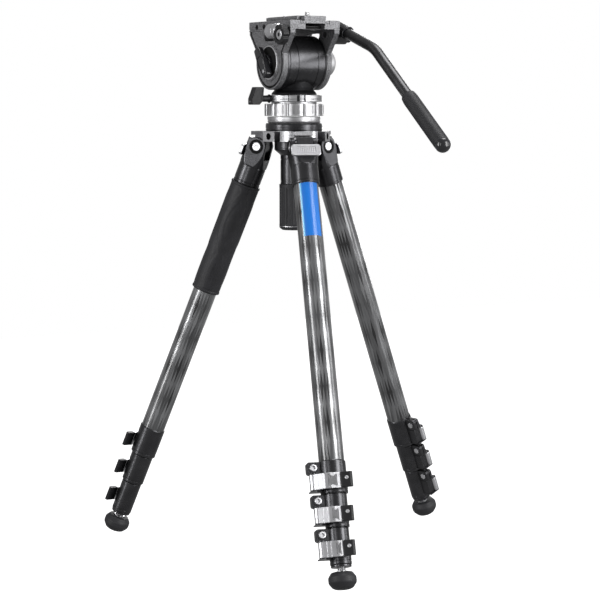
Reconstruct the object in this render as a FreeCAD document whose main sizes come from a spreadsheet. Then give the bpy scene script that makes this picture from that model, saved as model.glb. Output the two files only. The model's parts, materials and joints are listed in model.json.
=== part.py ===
import FreeCAD
import Part
import Sketcher
import math
import os
import re

# Carbon-fibre video tripod with a leveling base and a fluid head, legs collapsed.
# Millimetres, Z up, floor at Z = 0. The head's tilt axis runs along X, the operator
# stands on the -Y side, and the pan handle is on the +X end of the tilt barrel.

SIZES = {
    # whole tripod
    "axis_x": -38.608,         # tripod axis from the middle of the bounding box
    "axis_y": 32.55,
    "floor_rise": 0.644,        # lifts the model so that the feet touch the floor
    "hinge_height": 534,        # leg hinge pins
    "hinge_circle": 47,
    "splay": 22,
    "front_azimuth": -17.8,     # front leg from -Y, towards +X
    "running_gap": 0.06,        # radial clearance of turning and sliding fits
    "free_gap": 0.3,            # clearance between pieces that pass each other
    # leg yoke
    "yoke_end_radius": 11.7,
    "yoke_half_width": 17.5,
    "yoke_half_depth": 16.8,
    "yoke_top_radius": 21.5,
    "sleeve_top": 27.5,
    "sleeve_bottom": 52.7,
    "sleeve_radius": 18,
    "lug_half_width": 12,
    "lug_radius": 11,
    "slot_floor": 14.5,
    "bolt_radius": 4,
    "bolt_head_radius": 6,
    "bolt_head_depth": 3,
    "tube_top": 30,
    # angle-stop latch
    "latch_inner": 15.4,
    "latch_outer": 19.4,
    "latch_half_width": 19.5,
    "latch_top": 3,
    "latch_bottom": 18,
    "latch_corner": 3.5,
    "tongue_inner": 12.3,
    "tongue_half_width": 10.5,
    "tongue_rise": 8,
    "tongue_bottom": 14.2,
    # tubes: outer radii and tops, from the hinge pin down the leg
    "tube_wall": 1.5,
    "upper_radius": 16,
    "second_radius": 13.75,
    "third_radius": 12,
    "fourth_radius": 10.25,
    "second_top": 70,
    "third_top": 90,
    "fourth_top": 110,
    "bush_length": 12,
    # flip locks
    "lock_1_top": 415,
    "lock_1_bottom": 456,
    "lock_1_radius": 17.2,
    "lock_2_top": 456.4,
    "lock_2_bottom": 498,
    "lock_2_radius": 15,
    "lock_3_top": 498.4,
    "lock_3_bottom": 543.5,
    "lock_3_radius": 13.5,
    "lock_socket": 16,
    "ear_half_depth": 5,
    "ear_reach": 16,
    "lower_ear_reach": 12,
    "ear_root": 4,
    "tab_reach": 14.2,
    "tab_root": 7,
    "tab_thickness": 1.2,
    "lever_drop": 17.5,
    "lever_height": 19.4,
    "pivot_out": 9.5,
    "pivot_reach": 10.8,
    "barrel_radius": 4.2,
    "pivot_radius": 1.5,
    "lever_gap": 1.8,
    "lever_bar": 3.7,
    "lever_shoulder": 10,
    "pad_proud": 5.7,
    "pad_start": 13.4,
    "pad_reach": 0.8,
    "screw_radius": 4.5,
    "screw_depth": 2,
    # foot
    "plug_radius": 12.8,
    "plug_height": 2.6,
    "stem_radius": 5,
    "foot_centre": 563,
    "foot_half_height": 11,
    "foot_radius": 17.5,
    "foot_shoulder": 15,
    "foot_base_radius": 8,
    "foot_side": 3,
    "foot_knee": 7.5,
    "foot_floor": 1.5,
    # hand grip on the left leg
    "hand_grip_top": 53.2,
    "hand_grip_bottom": 209,
    "hand_grip_top_radius": 20,
    "hand_grip_bottom_radius": 19.15,
    # crown and bowl
    "crown_bottom": 541,
    "crown_top": 554.5,
    "crown_radius": 37,
    "rim_radius": 37.6,
    "rim_top_radius": 36.6,
    "rim_bevel": 2.2,
    "rim_top": 565,
    "slab_bottom": 549.5,
    "slab_reach": 56,
    "skirt_radius": 34.3,
    "lug_root": 34.6,
    "ball_centre": 584,
    "ball_radius": 39,
    "liner_inner": 39.3,
    "liner_outer": 40.1,
    "bowl_radius": 40.4,
    "dome_radius": 47.7,
    "crown_hole_radius": 14,
    "boss_reach": 46,
    "boss_half_width": 11,
    "socket_radius": 4.4,
    "socket_depth": 9,
    "liner_bottom": 552,
    "liner_top": 564.4,
    # leveling ball and its handle
    "ball_top": 573.5,
    "ball_bottom": 547,
    "ball_ring_radius": 35.2,
    "stud_radius": 6,
    "stud_bottom": 490,
    "washer_radius": 26,
    "washer_sphere": 48,
    "flange_top": 532.4,
    "flange_bottom": 530,
    "cone_bottom": 523,
    "handle_radius": 18,
    "handle_bottom": 484.8,
    "grip_radius": 19.6,
    "grip_bottom": 424,
    "grip_bevel": 3,
    "core_radius": 14,
    # rings under the head
    "drag_ring_bottom": 574.4,
    "drag_ring_top": 590.3,
    "drag_ring_radius": 39,
    "scallop_radius": 5,
    "scallop_circle": 42.6,
    "scallops": 12,
    "pan_core_radius": 30,
    "pan_base_bottom": 592.8,
    "pan_base_top": 601.8,
    "pan_base_radius": 37,
    "spigot_radius": 12,
    "spigot_bottom": 579,
    "spigot_hole_bottom": 578,
    "lock_height": 597,
    "lock_shaft_radius": 4.3,
    "lock_shaft_inner": 13,
    "paddle_inner": 50,
    "paddle_outer": 67,
    "paddle_lean": 5,
    "paddle_bottom": 589,
    "paddle_top": 612,
    "paddle_half_width": 5.5,
    # head body
    "neck_bottom": 602.1,
    "neck_radius": 30,
    "waist_radius": 25,
    "waist_height": 609.5,
    "tilt_height": 643.8,
    "barrel_side": 29.2,
    "tilt_barrel_radius": 35.3,
    "cavity_radius": 20.3,
    "cavity_half_width": 14.3,
    "drum_radius": 20,
    "drum_half_width": 14,
    "axle_radius": 10,
    # cradle: side plates and platform
    "plate_inner": 29.5,
    "plate_outer": 37,
    "plate_radius": 35.5,
    "plate_waist": 34,
    "plate_waist_height": 656,
    "plate_corner_height": 681,
    "window_half_top": 17,
    "window_half_bottom": 12,
    "window_bottom": 671.5,
    "window_top": 682.5,
    "platform_half_length": 53,
    "platform_half_width": 37.5,
    "platform_bottom": 685,
    "platform_belly": 686.2,
    "platform_top": 697.5,
    "rail_inner": 22,
    "step_inner": 14.5,
    "step_height": 693,
    "channel_floor": 690,
    "channel_setback": 9,
    "side_hole_radius": 3,
    "side_hole_height": 690.5,
    "side_hole_first": 33,
    "side_hole_second": 14,
    "side_hole_depth": 6,
    "housing_radius": 10,
    "housing_height": 684,
    "housing_inner": 37.5,
    "housing_near": -29,
    "housing_far": 1,
    # camera plate and its screw
    "camera_plate_near": -53,
    "camera_plate_length": 88,
    "camera_plate_bottom": 693.3,
    "camera_plate_foot": 21.7,
    "camera_plate_foot_top": 696.6,
    "camera_plate_neck": 16,
    "camera_plate_shelf": 699,
    "camera_plate_half_width": 22,
    "camera_plate_top": 703.5,
    "flange_setback": 9,
    "screw_y": -33,
    "camera_thread_radius": 3.17,
    "shank_radius": 2.5,
    "thread_bottom": 703.7,
    "camera_screw_top": 709,
    "screw_head_radius": 8,
    "screw_head_bottom": 694,
    "screw_head_top": 697.5,
    "recess_radius": 8.3,
    "recess_top": 698.2,
    "pin_y": 24.5,
    "pin_radius": 1.6,
    "pin_top": 706.3,
    # knobs on the cradle
    "clamp_y": -44,
    "clamp_height": 678.5,
    "clamp_radius": 13,
    "clamp_inner": 41,
    "clamp_outer": 50,
    "clamp_shaft_radius": 3.5,
    "clamp_shaft_inner": 26,
    "lobe_radius": 4,
    "lobe_circle": 14.6,
    "tilt_lever_inner": 43,
    "tilt_lever_outer": 52,
    "tilt_lever_half_length": 22,
    "tilt_lever_half_width": 8.5,
    "tilt_lever_tip": 5.5,
    "tilt_lever_angle": 35,
    "hub_radius": 10,
    "end_shaft_radius": 5,
    "end_shaft_depth": 8,
    "end_knob_radius": 17.5,
    "end_knob_inner": 37.3,
    "end_knob_outer": 56,
    # pan handle
    "rosette_y": -29,
    "rosette_height": 680,
    "rosette_radius": 13,
    "rosette_face": 42.5,
    "socket_inner": 42.8,
    "socket_outer": 59.6,
    "socket_hub_radius": 12,
    "handle_x": 50,
    "handle_y": -33,
    "handle_z": 687.9,
    "handle_slope": 18.2,
    "handle_turn": 20.2,
    "collar_length": 21,
    "collar_radius": 9.4,
    "rod_radius": 7,
    "rod_inset": 4,
    "rod_first": 76.5,
    "bend_radius": 60,
    "rod_second": 175,
    "hand_start": 87.3,
    "hand_length": 105,
    "hand_radius": 10,
    "hand_start_radius": 9.5,
    "handle_knob_radius": 10,
    "handle_knob_inner": 59.9,
    "handle_knob_outer": 66.9,
    "handle_lobe_circle": 11.4,
    "handle_lobe_radius": 3,
}

LEGS = {"front": 0, "right": 120, "left": -120}
TUBES = ["upper", "second", "third", "fourth"]

doc = FreeCAD.newDocument("tripod")
sheet = doc.addObject("Spreadsheet::Sheet", "Sheet")
for row, (alias, value) in enumerate(SIZES.items(), start=1):
    sheet.set(f"A{row}", alias)
    sheet.set(f"B{row}", str(value))
    sheet.setAlias(f"B{row}", alias)
doc.recompute()

finished = {}


# ---- expressions -------------------------------------------------------------------

def linked(text):
    """The expression with every size's name pointing at its cell in the sheet."""
    return re.sub(r"[a-z_][a-z0-9_]*", lambda word: "Sheet." + word[0] if word[0] in SIZES else word[0], text)


def number(text):
    """The expression's value now."""
    return float(sheet.evalExpression(linked(text)))


def bind(item, **sizes):
    """Bind the item's properties to expressions in the sheet's names."""
    for name, text in sizes.items():
        item.setExpression(name, linked(text))
    return item


def move(item, x="0", y="0", z="0"):
    """Bind the item's position to expressions in the sheet's names."""
    for axis, text in zip("xyz", (x, y, z)):
        if text != "0":
            item.setExpression("Placement.Base." + axis, linked(text))
    return item


# ---- primitives and booleans ---------------------------------------------------------

AXES = {
    "Z": FreeCAD.Rotation(),
    "X": FreeCAD.Rotation(FreeCAD.Vector(0, 1, 0), 90),
    "Y": FreeCAD.Rotation(FreeCAD.Vector(1, 0, 0), -90),
}


def cylinder(radius, length, x="0", y="0", z="0", along="Z"):
    """A cylinder from the given point, towards +X, +Y or +Z."""
    item = bind(doc.addObject("Part::Cylinder", "Cylinder"), Radius=radius, Height=length)
    item.Placement = FreeCAD.Placement(FreeCAD.Vector(), AXES[along])
    return move(item, x, y, z)


def sphere(radius, z):
    """A sphere centred on the Z axis."""
    return move(bind(doc.addObject("Part::Sphere", "Sphere"), Radius=radius), z=z)


def box(low, high):
    """A box between two corners."""
    length, width, height = (f"({b}) - ({a})" for a, b in zip(low, high))
    item = bind(doc.addObject("Part::Box", "Box"), Length=length, Width=width, Height=height)
    return move(item, *low)


def fused(*items):
    item = doc.addObject("Part::MultiFuse", "Fused")
    item.Shapes = list(items)
    item.Refine = True
    return item


def common(*items):
    item = doc.addObject("Part::MultiCommon", "Common")
    item.Shapes = list(items)
    return item


def cut(base, *tools):
    item = doc.addObject("Part::Cut", "Cut")
    item.Base = base
    item.Tool = tools[0] if len(tools) == 1 else fused(*tools)
    return item


def grouped(*items):
    """Separate solids kept together as one sub-part."""
    item = doc.addObject("Part::Compound", "Group")
    item.Links = list(items)
    return item


# ---- PartDesign pieces ------------------------------------------------------------------

def new_body():
    return doc.addObject("PartDesign::Body", "Body")


def new_sketch(body, plane, offset="0"):
    """A sketch on one of the body's own origin planes, moved along the plane's normal."""
    sketch = body.newObject("Sketcher::SketchObject", "Sketch")
    support = next(item for item in body.Origin.OriginFeatures if item.Role == plane)
    sketch.AttachmentSupport = [(support, "")]
    sketch.MapMode = "FlatFace"
    sketch.setExpression("AttachmentOffset.Base.z", linked(offset))
    return sketch


def fix_point(sketch, geometry, vertex, x, y):
    """Hold a point of the sketch at the two coordinates given as expressions."""
    for kind, axis, text in (("DistanceX", -2, x), ("DistanceY", -1, y)):
        if text == "0":
            sketch.addConstraint(Sketcher.Constraint("PointOnObject", geometry, vertex, axis))
        else:
            rule = Sketcher.Constraint(kind, -1, 1, geometry, vertex, number(text))
            place = sketch.addConstraint(rule)
            sketch.setExpression(f"Constraints[{place}]", linked(text))


def add_outline(sketch, corners):
    """A closed outline of straight lines through corners given as expressions."""
    points = [FreeCAD.Vector(number(x), number(y), 0) for x, y in corners]
    ends = points[1:] + points[:1]
    first = sketch.GeometryCount
    sketch.addGeometry([Part.LineSegment(a, b) for a, b in zip(points, ends)], False)
    count = len(corners)
    joints = [
        Sketcher.Constraint("Coincident", first + side, 2, first + (side + 1) % count, 1)
        for side in range(count)
    ]
    sketch.addConstraint(joints)
    for side, (x, y) in enumerate(corners):
        fix_point(sketch, first + side, 1, x, y)


def add_circle(sketch, radius, x="0", y="0"):
    centre = FreeCAD.Vector(number(x), number(y), 0)
    circle = Part.Circle(centre, FreeCAD.Vector(0, 0, 1), number(radius))
    geometry = sketch.addGeometry(circle, False)
    place = sketch.addConstraint(Sketcher.Constraint("Radius", geometry, number(radius)))
    sketch.setExpression(f"Constraints[{place}]", linked(radius))
    fix_point(sketch, geometry, 3, x, y)


def add_feature(body, kind, sketch, length=None):
    feature = body.newObject("PartDesign::" + kind, kind)
    feature.Profile = sketch
    if length:
        feature.setExpression("Length", linked(length))
    sketch.Visibility = False
    return feature


def prism(plane, offset, length, corners, body=None):
    """An outline pushed along its plane's normal, from the offset."""
    body = body or new_body()
    sketch = new_sketch(body, plane, offset)
    add_outline(sketch, corners)
    add_feature(body, "Pad", sketch, length)
    return body


def turned(corners):
    """A profile of (radius, height) corners turned about the Z axis."""
    body = new_body()
    sketch = new_sketch(body, "XZ_Plane")
    add_outline(sketch, corners)
    feature = add_feature(body, "Revolution", sketch)
    feature.ReferenceAxis = (sketch, ["V_Axis"])
    feature.Angle = 360
    return body


def tube(outer, inner, top, bottom):
    """A tube along Z between two depths below the origin."""
    body = new_body()
    sketch = new_sketch(body, "XY_Plane", f"-({bottom})")
    add_circle(sketch, outer)
    add_circle(sketch, inner)
    add_feature(body, "Pad", sketch, f"({bottom}) - ({top})")
    return body


def lobed_knob(plane, offset, thickness, radius, centre, lobes, lobe_circle, lobe_radius):
    """A round knob with finger hollows around its edge."""
    body = new_body()
    sketch = new_sketch(body, plane, offset)
    add_circle(sketch, radius, *centre)
    add_feature(body, "Pad", sketch, thickness)
    hollow = new_sketch(body, plane, offset)
    add_circle(hollow, lobe_radius, centre[0], f"({centre[1]}) + {lobe_circle}")
    pocket = add_feature(body, "Pocket", hollow, thickness)
    pocket.Reversed = True
    middle = new_sketch(body, plane, offset)
    add_circle(middle, lobe_radius, *centre)
    pattern = body.newObject("PartDesign::PolarPattern", "Pattern")
    pattern.Originals = [pocket]
    pattern.Axis = (middle, ["N_Axis"])
    pattern.Angle = 360
    pattern.Occurrences = lobes
    middle.Visibility = False
    body.Tip = pattern
    return body


# ---- places ------------------------------------------------------------------------------

def tripod_place():
    """From the tripod's own axis and hinge heights to the model's frame."""
    return FreeCAD.Placement(
        FreeCAD.Vector(number("axis_x"), number("axis_y"), number("floor_rise")), FreeCAD.Rotation()
    )


def leg_turn(name):
    """Rotation that takes +X to the leg's outward direction."""
    azimuth = number("front_azimuth") + LEGS[name]
    return FreeCAD.Rotation(FreeCAD.Vector(0, 0, 1), azimuth - 90)


def leg_place(name):
    """Leg frame: origin on the hinge pin, +X outward, +Z up along the leg."""
    turn = leg_turn(name)
    pin = turn.multVec(FreeCAD.Vector(number("hinge_circle"), 0, number("hinge_height")))
    lean = FreeCAD.Rotation(FreeCAD.Vector(0, 1, 0), -number("splay"))
    return FreeCAD.Placement(pin, turn.multiply(lean))


def handle_place():
    """Handle frame: origin at the collar, +Z along the rod, +X towards its bend."""
    slope = FreeCAD.Rotation(FreeCAD.Vector(1, 0, 0), number("handle_slope"))
    base = FreeCAD.Rotation(
        FreeCAD.Vector(0, 0, -1), FreeCAD.Vector(1, 0, 0), FreeCAD.Vector(0, -1, 0), "ZXY"
    )
    corner = FreeCAD.Vector(number("handle_x"), number("handle_y"), number("handle_z"))
    return FreeCAD.Placement(corner, slope.multiply(base))


def finish(label, item, place=None):
    """Name a sub-part and put it in its place."""
    item.Label = label
    place = tripod_place().multiply(place or FreeCAD.Placement())
    item.Placement = place
    finished[label] = item


# ---- legs ----------------------------------------------------------------------------------

def leg_yoke():
    """Forked casting that turns on the crown's lug and holds the upper tube in its sleeve."""
    ends = "yoke_end_radius"
    fork = prism("XZ_Plane", "-yoke_half_width", "2 * yoke_half_width", [
        (f"-{ends}", "0"), (ends, "0"), ("yoke_half_depth", "-sleeve_top"),
        ("-yoke_half_depth", "-sleeve_top"),
    ])
    eye = cylinder(ends, "2 * yoke_half_width", y="-yoke_half_width", along="Y")
    flare = bind(doc.addObject("Part::Cone", "Cone"), Radius1="sleeve_radius", Radius2="yoke_top_radius + 3",
                 Height="sleeve_top + yoke_end_radius")
    move(flare, z="-sleeve_top")
    sleeve = cylinder("sleeve_radius", "sleeve_bottom - sleeve_top", z="-sleeve_bottom")
    slot = box(("-sleeve_top", "-lug_half_width - free_gap", "-slot_floor"),
               ("sleeve_top", "lug_half_width + free_gap", "sleeve_top"))
    bore = cylinder("upper_radius", "sleeve_bottom - tube_top + 1", z="-sleeve_bottom - 1")
    width = "yoke_half_width"
    pin_hole = cylinder("bolt_radius + running_gap", f"2 * {width} + 2", y=f"-{width} - 1", along="Y")
    sinks = [
        cylinder("bolt_head_radius + free_gap", "bolt_head_depth + free_gap + 1", y=low, along="Y")
        for low in (f"-{width} - 1", f"{width} - bolt_head_depth - free_gap")
    ]
    return cut(fused(common(fused(fork, eye), flare), sleeve), slot, bore, pin_hole, *sinks)


def stop_latch():
    """Winged plate on the outward side whose tongue meets the crown's slab."""
    half, corner = "latch_half_width", "latch_corner"
    plate = prism("YZ_Plane", "latch_inner", "latch_outer - latch_inner", [
        (f"-{half}", f"-latch_top - {corner}"), (f"-{half} + {corner}", "-latch_top"),
        (f"{half} - {corner}", "-latch_top"), (half, f"-latch_top - {corner}"),
        (half, f"-latch_bottom + {corner}"), (f"{half} - {corner}", "-latch_bottom"),
        (f"-{half} + {corner}", "-latch_bottom"), (f"-{half}", f"-latch_bottom + {corner}"),
    ])
    tongue = box(("tongue_inner", "-tongue_half_width", "-tongue_bottom"),
                 ("latch_inner + 1", "tongue_half_width", "tongue_rise"))
    return fused(plate, tongue)


def flip_lock(order, outer, inner):
    """Collar bonded to the outer tube, with the ears, screw and lever pivot of its clamp."""
    name = f"lock_{order}"
    top, bottom, radius = name + "_top", name + "_bottom", name + "_radius"
    depth, root = "ear_half_depth", f"-{radius} + ear_root"
    collar = cylinder(radius, f"{bottom} - {top}", z=f"-{bottom}")
    upper_ear = box((f"-{depth}", f"-{radius} - ear_reach", f"-{top} - lock_socket"),
                    (depth, root, f"-{top} - 0.5"))
    lower_ear = box((f"-{depth}", f"-{radius} - lower_ear_reach", f"-{top} - lever_drop - lever_height"),
                    (depth, root, f"-{top} - lock_socket - 0.5"))
    low_tab = f"{top} + lever_drop + lever_height + free_gap + tab_thickness"
    tabs = [
        box(("0", f"-{radius} - tab_reach", f"-({drop})"),
            ("pivot_out + barrel_radius", f"-{radius} - tab_root", f"-({drop}) + tab_thickness"))
        for drop in (f"{top} + lever_drop - free_gap", low_tab)
    ]
    bridge = box(("-ear_half_depth", f"-{radius} - tab_reach", f"-({low_tab})"),
                 (depth, root, f"-({low_tab}) + tab_thickness + 0.4"))
    pivot = cylinder("pivot_radius", f"{low_tab} - {top} - lock_socket", "pivot_out",
                     f"-{radius} - pivot_reach", f"-({low_tab})")
    screw = cylinder("screw_radius", f"screw_depth + {depth}", "0",
                     f"-{radius} - ear_reach / 2", f"-{top} - lock_socket / 2", along="X")
    outer_bore = cylinder(outer, "lock_socket + 1", z=f"-{top} - lock_socket")
    inner_bore = cylinder(f"{inner} + running_gap", f"{bottom} - {top} + 2", z=f"-{bottom} - 1")
    return cut(fused(collar, upper_ear, lower_ear, *tabs, bridge, pivot, screw), outer_bore, inner_bore)


def flip_lever(order):
    """Lever that wraps across the collar's outward side, with a pad on its free end."""
    name = f"lock_{order}"
    top, radius = name + "_top", name + "_radius"
    pivot_y = f"-{radius} - pivot_reach"
    inside, outside = f"{radius} + lever_gap", f"{radius} + lever_gap + lever_bar"
    start, tip = f"{radius} - pad_start", f"{radius} + pad_reach"
    base = f"-{top} - lever_drop - lever_height"
    bar = prism("XY_Plane", base, "lever_height", [
        ("pivot_out + barrel_radius - 0.2", pivot_y), (f"{outside} - 2", f"-{radius} + lever_shoulder / 3"),
        (outside, f"-{radius} + lever_shoulder"), (outside, start), (f"{outside} + pad_proud", start),
        (f"{outside} + pad_proud", tip), (outside, tip), (inside, start), (inside,
                                                                           f"-{radius} + lever_shoulder"),
        ("pivot_out + 1", f"{pivot_y} + barrel_radius - 0.2"),
    ])
    barrel = cylinder("barrel_radius", "lever_height", "pivot_out", pivot_y, base)
    hole = cylinder("pivot_radius + running_gap", "lever_height + 2", "pivot_out", pivot_y, f"{base} - 1")
    return cut(fused(bar, barrel), hole)


def inner_section(index):
    """Inner tube with its guide bush and, except on the last one, its bonded lock collar."""
    name, outside = TUBES[index], TUBES[index - 1]
    radius, top = name + "_radius", name + "_top"
    socket_end = f"lock_{index + 1}_top + lock_socket" if index < 3 else "lock_3_bottom"
    tube_body = tube(radius, f"{radius} - tube_wall", top, socket_end)
    bush = tube(f"{outside}_radius - tube_wall - running_gap", radius, top, f"{top} + bush_length")
    if index < 3:
        return grouped(tube_body, bush, flip_lock(index + 1, radius, TUBES[index + 1] + "_radius"))
    plug = cylinder("plug_radius", "plug_height", z="-lock_3_bottom - plug_height - free_gap")
    neck = cylinder("fourth_radius - tube_wall", "free_gap + bush_length", z="-lock_3_bottom - free_gap")
    stem = cylinder("stem_radius", "foot_centre - lock_3_bottom", z="-foot_centre")
    return grouped(tube_body, bush, fused(plug, neck, stem))


def rubber_foot():
    """Round rubber foot screwed onto the stem."""
    middle, half = "-foot_centre", "foot_half_height"
    hole = "stem_radius + running_gap"
    return turned([
        (hole, f"{middle} + {half}"), ("foot_shoulder - 4", f"{middle} + {half}"),
        ("foot_shoulder", f"{middle} + foot_knee"), ("foot_radius", f"{middle} + foot_side"),
        ("foot_radius", f"{middle} - foot_side"), ("foot_shoulder", f"{middle} - foot_knee"),
        ("foot_base_radius", f"{middle} - {half} + 0.6"), ("0", f"{middle} - {half} + 0.6"),
        ("0", f"{middle} - foot_floor"), (hole, f"{middle} - foot_floor"),
    ])


def hand_grip():
    """Rubber sleeve over the top of the left leg's upper tube."""
    return turned([
        ("upper_radius", "-hand_grip_top"), ("hand_grip_top_radius", "-hand_grip_top"),
        ("hand_grip_bottom_radius", "-hand_grip_bottom"), ("upper_radius", "-hand_grip_bottom"),
    ])


def make_leg(name):
    place = leg_place(name)
    finish(f"{name}_yoke", leg_yoke(), place)
    upper = tube("upper_radius", "upper_radius - tube_wall", "tube_top", "lock_1_top + lock_socket")
    finish(f"{name}_upper_tube", upper, place)
    finish(f"{name}_lock", flip_lock(1, "upper_radius", "second_radius"), place)
    finish(f"{name}_stop_latch", stop_latch(), place)
    for index in (1, 2, 3):
        finish(f"{name}_section_{index + 1}", inner_section(index), place)
        finish(f"{name}_lever_{index}", flip_lever(index), place)
    finish(f"{name}_foot", rubber_foot(), place)


# ---- crown and leveling base ------------------------------------------------------------------

def crown_arm():
    """One hinge lug, in a frame whose +X points out along the leg."""
    lug = prism("XZ_Plane", "-lug_half_width", "2 * lug_half_width", [
        ("lug_root", "crown_bottom"), ("lug_root", "crown_top"), ("slab_reach", "crown_top"),
        ("slab_reach", "slab_bottom"), ("hinge_circle + 3", "slab_bottom"),
        ("hinge_circle + 4.9", "hinge_height + 9.7"), ("hinge_circle", "hinge_height"),
        ("hinge_circle - lug_radius + 0.2", "hinge_height + 2"),
        ("hinge_circle - lug_radius + 0.5", "crown_bottom"),
    ])
    eye = cylinder("lug_radius", "2 * lug_half_width", "hinge_circle", "-lug_half_width", "hinge_height",
                   along="Y")
    hole = cylinder("bolt_radius", "2 * lug_half_width + 2", "hinge_circle", "-lug_half_width - 1",
                    "hinge_height", along="Y")
    return cut(fused(lug, eye), hole)


def accessory_boss():
    """One threaded socket between two legs, in a frame whose +X points out through it."""
    block = box(("lug_root", "-boss_half_width", "crown_bottom"),
                ("boss_reach", "boss_half_width", "crown_top"))
    hole = cylinder("socket_radius", "socket_depth + 1", "boss_reach - socket_depth", "0",
                    "(crown_bottom + crown_top) / 2", along="X")
    return cut(block, hole)


def crown():
    """Spider that carries the legs, with the leveling bowl in its top."""
    core = turned([
        ("0", "crown_bottom"), ("crown_radius", "crown_bottom"), ("crown_radius", "crown_top"),
        ("rim_radius", "crown_top + rim_bevel"), ("rim_radius", "rim_top - rim_bevel"),
        ("rim_top_radius", "rim_top"), ("0", "rim_top"),
    ])
    under = cut(cylinder("skirt_radius", "rim_top - crown_bottom - 12", z="crown_bottom - 1"),
                sphere("dome_radius", "ball_centre"))
    hub = cut(core, sphere("bowl_radius", "ball_centre"), under,
              cylinder("crown_hole_radius", "rim_top - crown_bottom", z="crown_bottom - 10"))
    arms = []
    for name in LEGS:
        arm = crown_arm()
        arm.Placement = FreeCAD.Placement(FreeCAD.Vector(), leg_turn(name))
        boss = accessory_boss()
        between = FreeCAD.Rotation(FreeCAD.Vector(0, 0, 1), 60)
        boss.Placement = FreeCAD.Placement(FreeCAD.Vector(), leg_turn(name).multiply(between))
        arms += [arm, boss]
    return fused(hub, *arms)


def hinge_bolts():
    """The three leg bolts, each with a head sunk into either ear of its yoke."""
    bolts = []
    for name in LEGS:
        reach = "yoke_half_width - bolt_head_depth"
        shaft = cylinder("bolt_radius", f"2 * ({reach})", "hinge_circle", f"-({reach})", "hinge_height",
                         along="Y")
        heads = [
            cylinder("bolt_head_radius", "bolt_head_depth", "hinge_circle", low, "hinge_height", along="Y")
            for low in ("-yoke_half_width", reach)
        ]
        bolt = fused(shaft, *heads)
        bolt.Placement = FreeCAD.Placement(FreeCAD.Vector(), leg_turn(name))
        bolts.append(bolt)
    return grouped(*bolts)


def bowl_liner():
    """Thin friction liner between the bowl and the half ball."""
    band = cylinder("bowl_radius + 5", "liner_top - liner_bottom", z="liner_bottom")
    return cut(common(sphere("liner_outer", "ball_centre"), band), sphere("liner_inner", "ball_centre"))


def leveling_ball():
    """Half ball with its top ring, and the threaded stud that its handle pulls down."""
    puck = cylinder("ball_ring_radius", "ball_top - ball_bottom", z="ball_bottom")
    return fused(common(sphere("ball_radius", "ball_centre"), puck),
                 cylinder("stud_radius", "ball_bottom - stud_bottom + 1", z="stud_bottom"))


def clamp_washer():
    """Domed washer that the handle presses up against the bowl's underside."""
    hole = "stud_radius + running_gap"
    blank = turned([
        (hole, "crown_top"), ("washer_radius", "crown_top"), ("washer_radius", "flange_top"),
        (hole, "flange_top"),
    ])
    return cut(blank, sphere("washer_sphere", "ball_centre"))


def leveling_handle():
    """Handle under the crown that screws onto the stud, with the core of its grip."""
    hole = "stud_radius + running_gap"
    return turned([
        (hole, "flange_top"), ("washer_radius", "flange_top"), ("washer_radius", "flange_bottom"),
        ("handle_radius", "cone_bottom"), ("handle_radius", "handle_bottom"),
        ("core_radius", "handle_bottom"),
        ("core_radius", "grip_bottom + grip_bevel"), ("0", "grip_bottom + grip_bevel"),
        ("0", "stud_bottom - 2"), (hole, "stud_bottom - 2"),
    ])


def leveling_grip():
    """Rubber sleeve on the leveling handle."""
    return turned([
        ("core_radius", "handle_bottom"), ("grip_radius", "handle_bottom"),
        ("grip_radius", "grip_bottom + grip_bevel"), ("grip_radius - grip_bevel", "grip_bottom"),
        ("0", "grip_bottom"), ("0", "grip_bottom + grip_bevel"), ("core_radius", "grip_bottom + grip_bevel"),
    ])


def drag_ring():
    """Scalloped ring that sets the pan drag."""
    thickness = "drag_ring_top - drag_ring_bottom"
    ring = lobed_knob("XY_Plane", "drag_ring_bottom", thickness, "drag_ring_radius", ("0", "0"),
                      int(number("scallops")), "scallop_circle", "scallop_radius")
    return cut(ring, cylinder("pan_core_radius + free_gap", "ball_centre", z="drag_ring_bottom - 1"))


def pan_base():
    """Silver base that the head pans on, drilled for the pan lock."""
    core = cylinder("pan_core_radius", "pan_base_top - ball_top", z="ball_top")
    rim = cylinder("pan_base_radius", "pan_base_top - pan_base_bottom", z="pan_base_bottom")
    spigot_hole = cylinder("spigot_radius + running_gap", "neck_bottom - spigot_hole_bottom",
                           z="spigot_hole_bottom")
    side_hole = cylinder("lock_shaft_radius + running_gap", "pan_base_radius", "-pan_base_radius - 1", "0",
                         "lock_height", along="X")
    return cut(fused(core, rim), spigot_hole, side_hole)


def pan_lock_knob():
    """Winged knob whose screw presses on the head's spigot."""
    shaft = cylinder("lock_shaft_radius", "paddle_inner - lock_shaft_inner + 1", "-paddle_inner - 1", "0",
                     "lock_height", along="X")
    paddle = prism("XZ_Plane", "-paddle_half_width", "2 * paddle_half_width", [
        ("-paddle_inner", "lock_height - 3"), ("-paddle_inner + 2", "paddle_top"),
        ("-paddle_outer + paddle_lean + 1", "paddle_top"), ("-paddle_outer", "lock_height"),
        ("-paddle_outer", "paddle_bottom"), ("-paddle_inner - paddle_lean", "paddle_bottom"),
    ])
    return fused(shaft, paddle)


# ---- head ------------------------------------------------------------------------------------------

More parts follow.
